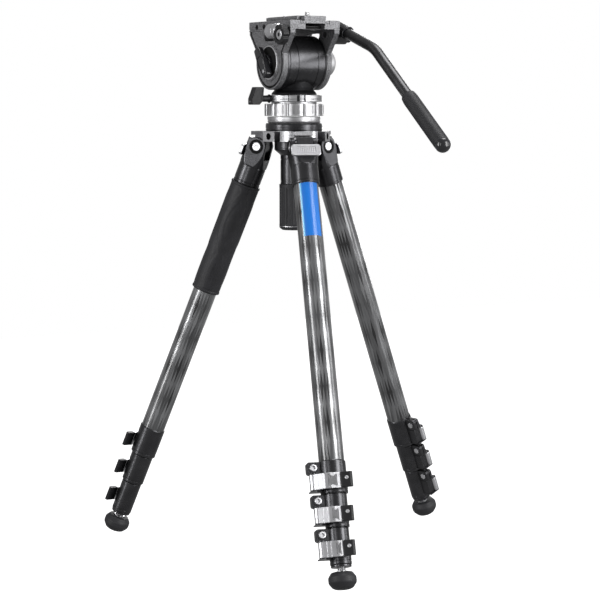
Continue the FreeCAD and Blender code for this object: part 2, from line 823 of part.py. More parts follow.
def head_body():
    """Flared neck with its pan spigot, and the barrel that the cradle tilts on."""
    neck = turned([
        ("0", "spigot_bottom"), ("spigot_radius", "spigot_bottom"), ("spigot_radius", "neck_bottom"),
        ("neck_radius", "neck_bottom"), ("neck_radius - 1", "neck_bottom + 2"),
        ("waist_radius", "waist_height"), ("waist_radius", "tilt_height - cavity_radius - 3"),
        ("0", "tilt_height - cavity_radius - 3"),
    ])
    barrel = cylinder("tilt_barrel_radius", "2 * barrel_side", "-barrel_side", "0", "tilt_height", along="X")
    cavity = cylinder("cavity_radius", "2 * cavity_half_width", "-cavity_half_width", "0", "tilt_height",
                      along="X")
    bore = cylinder("axle_radius + running_gap", "2 * barrel_side + 2", "-barrel_side - 1", "0",
                    "tilt_height", along="X")
    return cut(fused(neck, barrel), cavity, bore)


def tilt_axle():
    """Axle fixed to both side plates, drilled at each end for the lever and the knob."""
    shaft = cylinder("axle_radius", "2 * plate_outer", "-plate_outer", "0", "tilt_height", along="X")
    holes = [
        cylinder("end_shaft_radius + running_gap", "end_shaft_depth + 2", low, "0", "tilt_height", along="X")
        for low in ("-plate_outer - 1", "plate_outer - end_shaft_depth - 1")
    ]
    return cut(shaft, *holes)


def drag_drum():
    """Tilt drag drum inside the barrel."""
    drum = cylinder("drum_radius", "2 * drum_half_width", "-drum_half_width", "0", "tilt_height", along="X")
    hole = cylinder("axle_radius", "2 * drum_half_width + 2", "-drum_half_width - 1", "0", "tilt_height",
                    along="X")
    return cut(drum, hole)


def side_plate(offset):
    """Round plate with two arms up to the platform, pushed along +X from the offset."""
    thickness = "plate_outer - plate_inner"
    arms = prism("YZ_Plane", offset, thickness, [
        ("-platform_half_length", "platform_bottom"), ("-platform_half_length", "plate_corner_height"),
        ("-plate_waist", "plate_waist_height"), ("-plate_waist + 8", "tilt_height"),
        ("plate_waist - 8", "tilt_height"), ("plate_waist", "plate_waist_height"),
        ("platform_half_length", "plate_corner_height"), ("platform_half_length", "platform_bottom"),
    ])
    disc = cylinder("plate_radius", thickness, offset, "0", "tilt_height", along="X")
    window = prism("YZ_Plane", f"{offset} - 1", f"{thickness} + 2", [
        ("-window_half_top", "window_top"), ("-window_half_bottom", "window_bottom"),
        ("window_half_bottom", "window_bottom"), ("window_half_top", "window_top"),
    ])
    hole = cylinder("axle_radius", f"{thickness} + 2", f"{offset} - 1", "0", "tilt_height", along="X")
    return fused(arms, disc), window, hole


def left_side_plate():
    plate, window, hole = side_plate("-plate_outer")
    screw_hole = cylinder("clamp_shaft_radius + running_gap", "plate_outer", "-plate_outer - 1", "clamp_y",
                          "clamp_height", along="X")
    return cut(plate, window, hole, screw_hole)


def right_side_plate():
    plate, window, hole = side_plate("plate_inner")
    rosette = cylinder("rosette_radius", "rosette_face - plate_outer + 1", "plate_outer - 1", "rosette_y",
                       "rosette_height", along="X")
    screw_hole = cylinder("bolt_radius + running_gap", "plate_outer", "plate_inner - 1", "rosette_y",
                          "rosette_height", along="X")
    return cut(fused(plate, rosette), window, hole, screw_hole)


def platform():
    """Channelled platform that holds the camera plate."""
    side, belly = "platform_half_width", "barrel_side"
    right = [
        (belly, "platform_belly"), (belly, "platform_bottom"), (side, "platform_bottom"),
        (side, "platform_top"), ("rail_inner", "platform_top"), ("rail_inner", "step_height"),
        ("step_inner", "step_height"), ("step_inner", "channel_floor"),
    ]
    left = [(f"-{x}", z) for x, z in reversed(right)]
    body = prism("XZ_Plane", "-platform_half_length", "2 * platform_half_length", right + left)
    holes = [
        cylinder("side_hole_radius", "side_hole_depth + 1", f"-{side} - 1", y, "side_hole_height", along="X")
        for y in ("side_hole_first", "side_hole_second")
    ]
    clearance = cylinder("rosette_radius + free_gap", "rosette_face", "plate_outer - 1", "rosette_y",
                         "rosette_height", along="X")
    near_end = box(("-step_inner", "-platform_half_length - 1", "platform_belly - 1"),
                   ("step_inner", "-platform_half_length + channel_setback", "platform_top"))
    return cut(body, clearance, near_end, *holes)


def catch_housing():
    """Silver housing of the plate's catch, on the platform's left side."""
    barrel = cylinder("housing_radius", "housing_far - housing_near", "-housing_inner", "housing_near",
                      "housing_height", along="Y")
    inside = box(("-housing_inner", "housing_near - 1", "housing_height - housing_radius - 1"),
                 ("0", "housing_far + 1", "housing_height + housing_radius + 1"))
    return cut(barrel, inside)


def camera_plate():
    """Sliding plate with a recess under it for the camera screw."""
    half = [
        ("camera_plate_foot", "camera_plate_bottom"), ("camera_plate_foot", "camera_plate_foot_top"),
        ("camera_plate_neck", "camera_plate_foot_top"), ("camera_plate_neck", "camera_plate_shelf"),
        ("camera_plate_half_width", "camera_plate_shelf"), ("camera_plate_half_width", "camera_plate_top"),
    ]
    mirrored = [(f"-{x}", z) for x, z in reversed(half)]
    blank = prism("XZ_Plane", "-(camera_plate_near + camera_plate_length)", "camera_plate_length",
                  half + mirrored)
    recess = cylinder("recess_radius", "recess_top - camera_plate_bottom + 1", "0", "screw_y",
                      "camera_plate_bottom - 1")
    hole = cylinder("camera_thread_radius + running_gap", "20", "0", "screw_y", "camera_plate_bottom")
    pin = cylinder("pin_radius", "pin_top - camera_plate_top + 1", "0", "pin_y", "camera_plate_top - 1")
    corners = [
        box((low, "camera_plate_near - 1", "camera_plate_foot_top"),
            (high, "camera_plate_near + flange_setback", "camera_plate_top + 1"))
        for low, high in (("-camera_plate_half_width - 1", "-camera_plate_neck"),
                          ("camera_plate_neck", "camera_plate_half_width + 1"))
    ]
    return cut(fused(blank, pin), recess, hole, *corners)


def camera_screw():
    """Captive screw: head under the plate, thin shank through it, and the thread above."""
    head = cylinder("screw_head_radius", "screw_head_top - screw_head_bottom", "0", "screw_y",
                    "screw_head_bottom")
    shank = cylinder("shank_radius", "thread_bottom - screw_head_bottom", "0", "screw_y", "screw_head_bottom")
    thread = cylinder("camera_thread_radius", "camera_screw_top - thread_bottom", "0", "screw_y",
                      "thread_bottom")
    return fused(head, shank, thread)


def clamp_knob():
    """Lobed knob that clamps the camera plate."""
    knob = lobed_knob("YZ_Plane", "-clamp_outer", "clamp_outer - clamp_inner", "clamp_radius",
                      ("clamp_y", "clamp_height"), 7, "lobe_circle", "lobe_radius")
    shaft = cylinder("clamp_shaft_radius", "clamp_inner - clamp_shaft_inner + 1", "-clamp_inner - 1",
                     "clamp_y",
                     "clamp_height", along="X")
    return fused(knob, shaft)


def tilt_lock_lever():
    """Bar lever on the left end of the tilt axle."""
    bar = prism("YZ_Plane", "-tilt_lever_outer", "tilt_lever_outer - tilt_lever_inner", [
        ("-tilt_lever_tip", "-tilt_lever_half_length"), ("tilt_lever_tip", "-tilt_lever_half_length"),
        ("tilt_lever_half_width", "0"), ("tilt_lever_tip", "tilt_lever_half_length"),
        ("-tilt_lever_tip", "tilt_lever_half_length"), ("-tilt_lever_half_width", "0"),
    ])
    hub = cylinder("hub_radius", "tilt_lever_inner - end_knob_inner + 1", "-tilt_lever_inner - 1", along="X")
    shaft = cylinder("end_shaft_radius", "end_shaft_depth", "-end_knob_inner", along="X")
    lean = FreeCAD.Rotation(FreeCAD.Vector(1, 0, 0), -number("tilt_lever_angle"))
    return fused(bar, hub, shaft), FreeCAD.Placement(FreeCAD.Vector(0, 0, number("tilt_height")), lean)


def counterbalance_knob():
    """Round knob on the right end of the tilt axle."""
    knob = cylinder("end_knob_radius", "end_knob_outer - end_knob_inner", "end_knob_inner", "0",
                    "tilt_height", along="X")
    shaft = cylinder("end_shaft_radius", "end_shaft_depth + 1", "end_knob_inner - end_shaft_depth", "0",
                     "tilt_height", along="X")
    return fused(knob, shaft)


# ---- pan handle ---------------------------------------------------------------------------------------

def handle_socket():
    """Hub that faces the rosette, with the collar that holds the rod."""
    hub = cylinder("socket_hub_radius", "socket_outer - socket_inner", "socket_inner", "rosette_y",
                   "rosette_height", along="X")
    collar = cylinder("collar_radius", "collar_length")
    collar.Placement = handle_place()
    rod_hole = cylinder("rod_radius", "collar_length")
    inset = FreeCAD.Placement(FreeCAD.Vector(0, 0, number("rod_inset")), FreeCAD.Rotation())
    rod_hole.Placement = handle_place().multiply(inset)
    trim = box(("0", "-100", "rosette_height - 50"), ("socket_inner", "0", "rosette_height + 50"))
    screw_hole = cylinder("bolt_radius + running_gap", "socket_outer", "socket_inner - 1", "rosette_y",
                          "rosette_height", along="X")
    return cut(fused(hub, collar), trim, rod_hole, screw_hole)


def handle_rod():
    """Bent rod, straight out of the collar, then turned down towards the operator."""
    body = new_body()
    profile = new_sketch(body, "XY_Plane", "rod_inset")
    add_circle(profile, "rod_radius")
    path = new_sketch(body, "XZ_Plane")
    knee = FreeCAD.Vector(0, number("rod_first"), 0)
    centre = knee + FreeCAD.Vector(number("bend_radius"), 0, 0)
    turn = FreeCAD.Rotation(FreeCAD.Vector(0, 0, 1), -number("handle_turn"))
    half_turn = FreeCAD.Rotation(FreeCAD.Vector(0, 0, 1), -number("handle_turn") / 2)
    middle = centre + half_turn.multVec(knee - centre)
    bent = centre + turn.multVec(knee - centre)
    end = bent + turn.multVec(FreeCAD.Vector(0, number("rod_second"), 0))
    start = FreeCAD.Vector(0, number("rod_inset"), 0)
    runs = [Part.LineSegment(start, knee), Part.Arc(knee, middle, bent), Part.LineSegment(bent, end)]
    path.addGeometry(runs, False)
    fix_point(path, 0, 1, "0", "rod_inset")
    fix_point(path, 0, 2, "0", "rod_first")
    path.addConstraint([
        Sketcher.Constraint("Tangent", 0, 2, 1, 2), Sketcher.Constraint("Tangent", 1, 1, 2, 1),
    ])
    for kind, geometry, value, text in (
        ("Radius", 1, number("bend_radius"), "bend_radius"),
        ("Distance", 2, number("rod_second"), "rod_second"),
        ("Angle", 1, math.radians(number("handle_turn")), "handle_turn * 1 deg"),
    ):
        place = path.addConstraint(Sketcher.Constraint(kind, geometry, value))
        path.setExpression(f"Constraints[{place}]", linked(text))
    pipe = body.newObject("PartDesign::AdditivePipe", "Pipe")
    pipe.Profile = profile
    pipe.Spine = path
    return body


def grip_place():
    """Frame at the start of the hand grip, +Z along the rod's second run."""
    first, bend = number("rod_first"), number("bend_radius")
    turn = FreeCAD.Rotation(FreeCAD.Vector(0, 1, 0), number("handle_turn"))
    centre = FreeCAD.Vector(bend, 0, first)
    bent = centre + turn.multVec(FreeCAD.Vector(-bend, 0, 0))
    start = bent + turn.multVec(FreeCAD.Vector(0, 0, number("hand_start")))
    return handle_place().multiply(FreeCAD.Placement(start, turn))


def handle_grip():
    """Rubber grip with a ball end over the end of the rod."""
    return turned([
        ("rod_radius", "0"), ("hand_start_radius", "0"), ("hand_start_radius", "3"), ("hand_radius", "6"),
        ("hand_radius", "hand_length - hand_radius"), ("hand_radius - 3", "hand_length - 3"),
        ("hand_radius - 7", "hand_length"), ("0", "hand_length"), ("0", "rod_second - hand_start"),
        ("rod_radius", "rod_second - hand_start"),
    ])


def handle_knob():
    """Knob and bolt that clamp the handle against the rosette."""
    knob = lobed_knob("YZ_Plane", "handle_knob_inner", "handle_knob_outer - handle_knob_inner",
                      "handle_knob_radius", ("rosette_y", "rosette_height"), 6,
                      "handle_lobe_circle", "handle_lobe_radius")
    bolt = cylinder("bolt_radius", "handle_knob_inner - plate_inner + 1", "plate_inner", "rosette_y",
                    "rosette_height", along="X")
    return fused(knob, bolt)


# ---- the whole tripod -------------------------------------------------------------------------------------

for leg in LEGS:
    make_leg(leg)
finish("left_hand_grip", hand_grip(), leg_place("left"))
finish("crown", crown())
finish("hinge_bolts", hinge_bolts())
finish("bowl_liner", bowl_liner())
finish("leveling_ball", leveling_ball())
finish("clamp_washer", clamp_washer())
finish("leveling_handle", leveling_handle())
finish("leveling_grip", leveling_grip())
finish("pan_drag_ring", drag_ring())
finish("pan_base", pan_base())
finish("pan_lock_knob", pan_lock_knob())
finish("head_body", head_body())
finish("tilt_axle", tilt_axle())
finish("tilt_drag_drum", drag_drum())
finish("left_side_plate", left_side_plate())
finish("right_side_plate", right_side_plate())
finish("platform", platform())
finish("catch_housing", catch_housing())
finish("camera_plate", camera_plate())
finish("camera_screw", camera_screw())
finish("clamp_knob", clamp_knob())
finish("tilt_lock_lever", *tilt_lock_lever())
finish("counterbalance_knob", counterbalance_knob())
finish("handle_socket", handle_socket())
finish("handle_rod", handle_rod(), handle_place())
finish("handle_grip", handle_grip(), grip_place())
finish("handle_knob", handle_knob())

doc.recompute()

for item in doc.Objects:
    if "Invalid" in item.State or "Error" in item.State:
        raise RuntimeError(f"{item.Name} ({item.Label}) did not build: {item.State}")
for label, item in finished.items():
    if item.Shape.isNull() or not item.Shape.isValid() or not item.Shape.Solids:
        raise RuntimeError(f"{label} has no valid solid")

whole = FreeCAD.BoundBox()
for item in finished.values():
    whole.add(item.Shape.BoundBox)
print(f"{len(finished)} sub-parts, box {whole}")

os.makedirs("parts", exist_ok=True)
for label, item in finished.items():
    item.Shape.exportStep(f"parts/{label}.step")
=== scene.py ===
import json
import math

import bmesh
import bpy
from mathutils import Matrix, Vector


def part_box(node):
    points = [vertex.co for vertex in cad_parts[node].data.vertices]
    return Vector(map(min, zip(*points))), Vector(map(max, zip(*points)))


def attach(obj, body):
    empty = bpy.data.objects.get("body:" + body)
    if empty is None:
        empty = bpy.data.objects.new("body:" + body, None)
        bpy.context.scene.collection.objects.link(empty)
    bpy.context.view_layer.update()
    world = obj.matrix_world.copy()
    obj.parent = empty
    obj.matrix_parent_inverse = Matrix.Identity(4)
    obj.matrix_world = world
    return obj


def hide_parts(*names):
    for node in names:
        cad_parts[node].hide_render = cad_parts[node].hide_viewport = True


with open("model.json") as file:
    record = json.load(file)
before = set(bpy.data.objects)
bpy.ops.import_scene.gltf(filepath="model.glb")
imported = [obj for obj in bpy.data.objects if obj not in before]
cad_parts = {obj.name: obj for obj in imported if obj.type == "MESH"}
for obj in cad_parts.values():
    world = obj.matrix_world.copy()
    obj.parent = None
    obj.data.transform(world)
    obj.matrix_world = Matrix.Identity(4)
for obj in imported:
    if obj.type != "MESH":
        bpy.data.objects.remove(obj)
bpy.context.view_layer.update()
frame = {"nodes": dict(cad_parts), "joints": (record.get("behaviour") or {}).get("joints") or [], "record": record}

# Video tripod with a leveling base and a fluid head. Shapes are worked out in millimetres in
# the frame of their joint, and turned into metres when a piece is made.

MM = 0.001
JOINTS = {joint["name"]: joint for joint in frame["joints"]}
LEG_NAMES = ("front", "right", "left")


# ---- shapes -----------------------------------------------------------------------------

def turn_about(axis, degrees):
    return Matrix.Rotation(math.radians(degrees), 4, axis)


def shift(x=0.0, y=0.0, z=0.0):
    return Matrix.Translation((x, y, z))


ALONG_X = turn_about("Y", 90)
ALONG_Y = turn_about("X", -90)
FACING_X = Matrix(((0, 0, 1, 0), (1, 0, 0, 0), (0, 1, 0, 0), (0, 0, 0, 1)))     # outline in Y and Z
FACING_Y = Matrix(((1, 0, 0, 0), (0, 0, 1, 0), (0, 1, 0, 0), (0, 0, 0, 1)))     # outline in X and Z
AXIS_LIMIT = 1e-6      # a smaller radius is a point on the axis
FLAT_CORNER = math.radians(89)      # half the angle of a corner too flat to round


def rounded(corners, radius=0.0, steps=4, closed=True):
    """Outline of (x, y) or (x, y, radius) corners with each corner rounded."""
    points = []
    count = len(corners)
    for index, corner in enumerate(corners):
        here = Vector(corner[:2])
        size = corner[2] if len(corner) > 2 else radius
        before = Vector(corners[index - 1][:2]) - here
        after = Vector(corners[(index + 1) % count][:2]) - here
        is_end = not closed and index in (0, count - 1)
        if is_end or size <= 0 or before.length * after.length == 0:
            points.append(here)
            continue
        half = before.angle(after) / 2
        if half > FLAT_CORNER:
            points.append(here)
            continue
        reach = min(size / math.tan(half), 0.49 * before.length, 0.49 * after.length)
        size = reach * math.tan(half)
        middle = (before.normalized() + after.normalized()).normalized()
        centre = here + middle * size / math.sin(half)
        start = here + before.normalized() * reach - centre
        sweep = math.copysign(math.pi - 2 * half, before.cross(after))
        for step in range(steps + 1):
            angle = -sweep * step / steps
            points.append(centre + Matrix.Rotation(angle, 2) @ start)
    return points


def circle(radius, count=48):
    turns = [2 * math.pi * step / count for step in range(count)]
    return [Vector((radius * math.cos(turn), radius * math.sin(turn))) for turn in turns]


def fluted(radius, lobes, depth, power, count=144):
    """Round outline with hollows in its edge."""
    outline = []
    for step in range(count):
        turn = 2 * math.pi * step / count
        reach = radius - depth * max(0.0, math.cos(lobes * turn)) ** power
        outline.append((reach * math.cos(turn), reach * math.sin(turn)))
    return outline


def mirrored(half):
    """Outline of the given corners and their mirror image in X."""
    return half + [(-corner[0], *corner[1:]) for corner in reversed(half)]


def skin(shape, rings, closed=False):
    """Faces from each ring of vertices to the next; a ring of one vertex is a tip."""
    for low, high in zip(rings, rings[1:] + rings[:1] if closed else rings[1:]):
        count = max(len(low), len(high))
        for step in range(count):
            after = (step + 1) % count
            around = ((low, step), (low, after), (high, after), (high, step))
            corners = list(dict.fromkeys(points[index % len(points)] for points, index in around))
            if len(corners) > 2:
                shape.faces.new(corners)
    bmesh.ops.recalc_face_normals(shape, faces=shape.faces)
    return shape


def lathe(profile, radius=0.3, segments=96, steps=3):
    """Solid of revolution about Z from (radius, height) corners; it is closed if it starts off the axis."""
    hollow = profile[0][0] > 0
    shape = bmesh.new()
    rings = []
    for point in rounded(profile, radius, steps, closed=hollow):
        outline = circle(point.x, segments) if point.x >= AXIS_LIMIT else [(0, 0)]
        rings.append([shape.verts.new((x, y, point.y)) for x, y in outline])
    return skin(shape, rings, closed=hollow)


def ring(inner, outer, low, high, bevel=0.2, segments=96):
    """Hollow cylinder about Z."""
    return lathe([(inner, low), (outer, low), (outer, high), (inner, high)], bevel, segments)


def slab(outline, low, high, bevel=0.3, steps=2):
    """Outline pushed along Z, with its top and bottom edges bevelled."""
    shape = bmesh.new()
    bottom, top = ([shape.verts.new((x, y, height)) for x, y in outline] for height in (low, high))
    shape.faces.new(bottom)
    shape.faces.new(top)
    skin(shape, [bottom, top])
    if bevel > 0:
        soften(shape, bevel, steps)
    return shape


def panel(facing, corners, low, high, bevel=0.0, radius=0.0, steps=4, segments=2):
    """Slab of an outline with rounded corners, turned to face another way."""
    return placed(slab(rounded(corners, radius, steps), low, high, bevel, segments), facing)


def soften(shape, width, steps=2, angle=35):
    """Bevel every edge that is sharper than the angle."""
    limit = math.radians(angle)
    edges = [edge for edge in shape.edges if edge.is_manifold and edge.calc_face_angle(0) > limit]
    if edges:
        bmesh.ops.bevel(
            shape, geom=edges, offset=width, offset_type="OFFSET", segments=steps, profile=0.5,
            affect="EDGES", clamp_overlap=True,
        )
    return shape


def block(low, high, bevel=0.4, corner=0.0, steps=2):
    """Box between two corners, with its upright edges rounded and the others bevelled."""
    outline = rounded([(low[0], low[1]), (high[0], low[1]), (high[0], high[1]), (low[0], high[1])], corner, 4)
    return slab(outline, low[2], high[2], bevel, steps)


def rod(radius, low, high, bevel=0.3, segments=64):
    """Round bar along Z."""
    return lathe([(0, low), (radius, low), (radius, high), (0, high)], bevel, segments)


def placed(shape, matrix):
    bmesh.ops.transform(shape, matrix=matrix, verts=shape.verts)
    if matrix.determinant() < 0:
        bmesh.ops.reverse_faces(shape, faces=shape.faces)
    return shape


def joined(*shapes):
    """Several shapes as one, each keeping its own surface and colour index."""
    whole = bmesh.new()
    for shape in shapes:
        mesh = bpy.data.meshes.new("part")
        shape.to_mesh(mesh)
        whole.from_mesh(mesh)
        bpy.data.meshes.remove(mesh)
    return whole


def painted(shape, index):
    """The shape with all its faces in another of its piece's materials."""
    for face in shape.faces:
        face.material_index = index
    return shape


def linked(name, data):
    """A new object of the scene with the given data."""
    item = bpy.data.objects.new(name, data)
    bpy.context.scene.collection.objects.link(item)
    return item


def temporary(shape):
    """An object for a boolean, with a material slot for each index of its faces."""
    mesh = bpy.data.meshes.new("temporary")
    shape.to_mesh(mesh)
    for _ in range(1 + max((face.material_index for face in shape.faces), default=0)):
        mesh.materials.append(None)
    return linked("temporary", mesh)


def combined(operation, base, *tools):
    """Boolean of shapes: DIFFERENCE, UNION or INTERSECT."""
    items = [temporary(shape) for shape in (base, *tools)]
    for tool in items[1:]:
        modifier = items[0].modifiers.new("boolean", "BOOLEAN")
        modifier.operation = operation
        modifier.solver = "EXACT"
        modifier.material_mode = "INDEX"
        modifier.object = tool
    evaluated = items[0].evaluated_get(bpy.context.evaluated_depsgraph_get())
    mesh = bpy.data.meshes.new_from_object(evaluated)
    result = bmesh.new()
    result.from_mesh(mesh)
    bmesh.ops.dissolve_degenerate(result, dist=1e-4, edges=result.edges)
    bpy.data.meshes.remove(mesh)
    for item in items:
        mesh = item.data
        bpy.data.objects.remove(item)
        bpy.data.meshes.remove(mesh)
    return result


def cut(base, *tools):
    return combined("DIFFERENCE", base, *tools)


def merged(base, *tools):
    return combined("UNION", base, *tools)


# ---- pieces ------------------------------------------------------------------------------

def piece(name, shape, place, body, looks, slot, *nodes, smooth=38):
    """Make a shape a piece of the object, in the place of the given CAD nodes."""
    mesh = bpy.data.meshes.new(name)
    bmesh.ops.scale(shape, vec=(MM, MM, MM), verts=shape.verts)
    shape.to_mesh(mesh)
    shape.free()
    for look in looks if isinstance(looks, list) else [looks]:
        mesh.materials.append(look)
    mesh.shade_smooth()
    mesh.set_sharp_from_angle(angle=math.radians(smooth))
    item = linked(name, mesh)
    item.matrix_world = place
    weighted = item.modifiers.new("normals", "WEIGHTED_NORMAL")
    weighted.keep_sharp = True
    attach(item, body)
    if nodes:
        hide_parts(*nodes)
    return item


def softened(node, place, width=0.4):
    """The CAD node's own shape in millimetres in the given frame, with bevelled edges."""
    shape = bmesh.new()
    shape.from_mesh(frame["nodes"][node].data)
    placed(shape, Matrix.Scale(1 / MM, 4) @ place.inverted())
    bmesh.ops.remove_doubles(shape, verts=shape.verts, dist=1e-3)
    bmesh.ops.dissolve_limit(
        shape, angle_limit=math.radians(0.5), verts=shape.verts, edges=shape.edges, delimit={"NORMAL"}
    )
    return soften(shape, width)


# ---- materials ---------------------------------------------------------------------------

def graph(name, color, metallic, roughness, **sockets):
    """A new material and its tree, with a Principled shader's plain sockets set."""
    material = bpy.data.materials.new(name)
    material.use_nodes = True
    shader = material.node_tree.nodes["Principled BSDF"]
    shader.inputs["Base Color"].default_value = (*color, 1)
    shader.inputs["Metallic"].default_value = metallic
    shader.inputs["Roughness"].default_value = roughness
    for socket, value in sockets.items():
        shader.inputs[socket.replace("_", " ")].default_value = value
    return material, material.node_tree, shader


def add(tree, kind, inputs=None, **settings):
    """A shader node with its settings, and its inputs set or linked."""
    item = tree.nodes.new("ShaderNode" + kind)
    for name, value in settings.items():
        setattr(item, name, value)
    for socket, value in (inputs or {}).items():
        if isinstance(value, bpy.types.NodeSocket):
            tree.links.new(value, item.inputs[socket])
        else:
            item.inputs[socket].default_value = value
    return item


def math_node(tree, operation, *values):
    return add(tree, "Math", dict(enumerate(values)), operation=operation).outputs[0]


def position(tree):
    """The piece's own coordinates, in millimetres."""
    place = add(tree, "TexCoord").outputs["Object"]
    return add(tree, "VectorMath", {0: place, "Scale": 1 / MM}, operation="SCALE").outputs[0]


def noise(tree, where, scale, detail=2.0):
    return add(tree, "TexNoise", {"Vector": where, "Scale": scale, "Detail": detail}).outputs[0]


def spread(tree, value, low, high, start=0.3, end=0.7):
    """The value's span from start to end, mapped to low to high."""
    inputs = {"Value": value, "From Min": start, "From Max": end, "To Min": low, "To Max": high}
    return add(tree, "MapRange", inputs).outputs[0]


def ramp(tree, value, dark, light, start=0.3, end=0.7):
    """The value's span from start to end, mapped from a dark to a light colour."""
    share = spread(tree, value, 0.0, 1.0, start, end)
    item = add(tree, "Mix", data_type="RGBA")
    for name, value in (("Factor_Float", share), ("A_Color", (*dark, 1)), ("B_Color", (*light, 1))):
        socket = next(s for s in item.inputs if s.identifier == name)
        if isinstance(value, bpy.types.NodeSocket):
            tree.links.new(value, socket)
        else:
            socket.default_value = value
    return next(s for s in item.outputs if s.identifier == "Result_Color")


def set_color(tree, shader, value, dark, light, start=0.3, end=0.7):
    color = ramp(tree, value, dark, light, start, end)
    tree.links.new(color, shader.inputs["Base Color"])


def bump(tree, shader, value, height):
    """Raise the surface by the value times a height in millimetres."""
    item = add(tree, "Bump", {"Height": value, "Distance": height * MM, "Strength": 1.0})
    tree.links.new(item.outputs[0], shader.inputs["Normal"])


def drifting(name, color, metallic, roughness, look, grain, **sockets):
    """Material that drifts between two shades, with a fine grain in its roughness and relief."""
    shades, wear, broad_scale, fine_scale, fine_detail = look
    material, tree, shader = graph(name, color, metallic, roughness, **sockets)
    where = position(tree)
    fine = noise(tree, where, fine_scale, fine_detail)
    dark, light = ([value * shade for value in color] for shade in shades)
    set_color(tree, shader, noise(tree, where, broad_scale), dark, light)
    tree.links.new(spread(tree, fine, roughness + wear[0], roughness + wear[1]), shader.inputs["Roughness"])
    bump(tree, shader, fine, grain)
    return material


def black_metal(name, color=(0.05, 0.05, 0.053), roughness=0.27, grain=0.012):
    """Bead-blasted aluminium, anodised black."""
    return drifting(name, color, 0.9, roughness, ((0.8, 1.2), (-0.05, 0.08), 0.06, 2.2, 3.0), grain)


def speckled_metal(name):
    """Coarsely blasted aluminium, anodised dark grey."""
    material, tree, shader = graph(name, (0.2, 0.2, 0.205), 0.55, 0.55)
    fine = noise(tree, position(tree), 0.9, 4.0)
    set_color(tree, shader, fine, (0.04, 0.04, 0.042), (0.24, 0.24, 0.25), 0.36, 0.66)
    tree.links.new(spread(tree, fine, 0.45, 0.62), shader.inputs["Roughness"])
    bump(tree, shader, fine, 0.06)
    return material


def silver_metal(name, color=(0.62, 0.62, 0.64), roughness=0.3):
    """Anodised or plated aluminium."""
    return drifting(name, color, 1.0, roughness, ((0.85, 1.0), (-0.04, 0.07), 0.08, 3.0, 3.0), 0.006)


def turned_metal(name, color, roughness, grain):
    """Silver metal with the fine rings of a lathe about Z."""
    material = silver_metal(name, color, roughness)
    tree = material.node_tree
    height = add(tree, "SeparateXYZ", {0: position(tree)}).outputs["Z"]
    rings = add(tree, "CombineXYZ", {"Z": height}).outputs[0]
    bump(tree, tree.nodes["Principled BSDF"], noise(tree, rings, 4.0, 4.0), grain)
    return material


def plastic(name, color=(0.01, 0.01, 0.011), roughness=0.4, grain=0.04):
    """Moulded plastic with a fine spark-eroded grain."""
    shine = 0.2 if roughness > 0.3 else 0.5
    material, tree, shader = graph(name, color, 0.0, roughness, Specular_IOR_Level=shine)
    where = position(tree)
    cells = add(tree, "TexVoronoi", {"Vector": where, "Scale": 1.8}).outputs["Distance"]
    dark, light = ([value * shade for value in color] for shade in (0.8, 1.25))
    set_color(tree, shader, noise(tree, where, 0.1), dark, light)
    worn = spread(tree, cells, roughness - 0.05, roughness + 0.08, 0.1, 0.7)
    tree.links.new(worn, shader.inputs["Roughness"])
    bump(tree, shader, cells, grain)
    return material


def rubber(name):
    """Charcoal rubber with a soft grain."""
    color = (0.014, 0.014, 0.016)
    look = ((0.8, 1.3), (-0.08, 0.1), 0.05, 1.5, 4.0)
    return drifting(name, color, 0.0, 0.55, look, 0.03, Specular_IOR_Level=0.3)


def carbon(name, bands, pitch=46.0):
    """Clear-coated carbon tube about Z: two families of steep tapes crossing as long diamonds."""
    material, tree, shader = graph(name, (0.03, 0.03, 0.03), 0.6, 0.3, Coat_Weight=0.9, Coat_Roughness=0.09)

    def work(operation, *values):
        return math_node(tree, operation, *values)

    where = position(tree)
    parts = add(tree, "SeparateXYZ", {0: where}).outputs
    around = work("MULTIPLY", work("ARCTAN2", parts["Y"], parts["X"]), bands / (2 * math.pi))
    along = work("DIVIDE", parts["Z"], pitch)
    wobble = work("MULTIPLY", noise(tree, where, 0.02), 0.6)
    rising = work("FLOOR", work("ADD", work("ADD", around, along), wobble))
    falling = work("FLOOR", work("ADD", work("SUBTRACT", around, along), wobble))
    cells = add(tree, "CombineXYZ", {"X": rising, "Y": falling}).outputs[0]
    shade = add(tree, "TexWhiteNoise", {"Vector": cells}, noise_dimensions="3D").outputs["Value"]
    over = work("PINGPONG", work("ADD", rising, falling), 1.0)
    threads = add(tree, "CombineXYZ", {"X": work("MULTIPLY", around, 3.0), "Y": along}).outputs[0]
    fibre = noise(tree, threads, 5.0, 3.0)
    tone = work("ADD", work("MULTIPLY", shade, 0.45), work("MULTIPLY", over, 0.3))
    tone = work("ADD", tone, work("MULTIPLY", fibre, 0.35))
    set_color(tree, shader, tone, (0.012, 0.012, 0.013), (0.24, 0.243, 0.25), 0.25, 1.0)
    tree.links.new(spread(tree, tone, 0.42, 0.24, 0.2, 1.0), shader.inputs["Roughness"])
    bump(tree, shader, tone, 0.02)
    return material


def label_print(name):
    """Plain blue band with a paler edge on one side."""
    material, tree, shader = graph(name, (0.0, 0.16, 0.62), 0.0, 0.3, Coat_Weight=0.4, Coat_Roughness=0.15)
    where = position(tree)
    side = add(tree, "SeparateXYZ", {0: where}).outputs["Y"]
    edge = spread(tree, side, 1.0, 0.0, -10.6, -9.2)
    set_color(tree, shader, edge, (0.0, 0.12, 0.46), (0.01, 0.32, 0.56), 0.0, 1.0)
    bump(tree, shader, noise(tree, where, 0.8), 0.01)
    return material


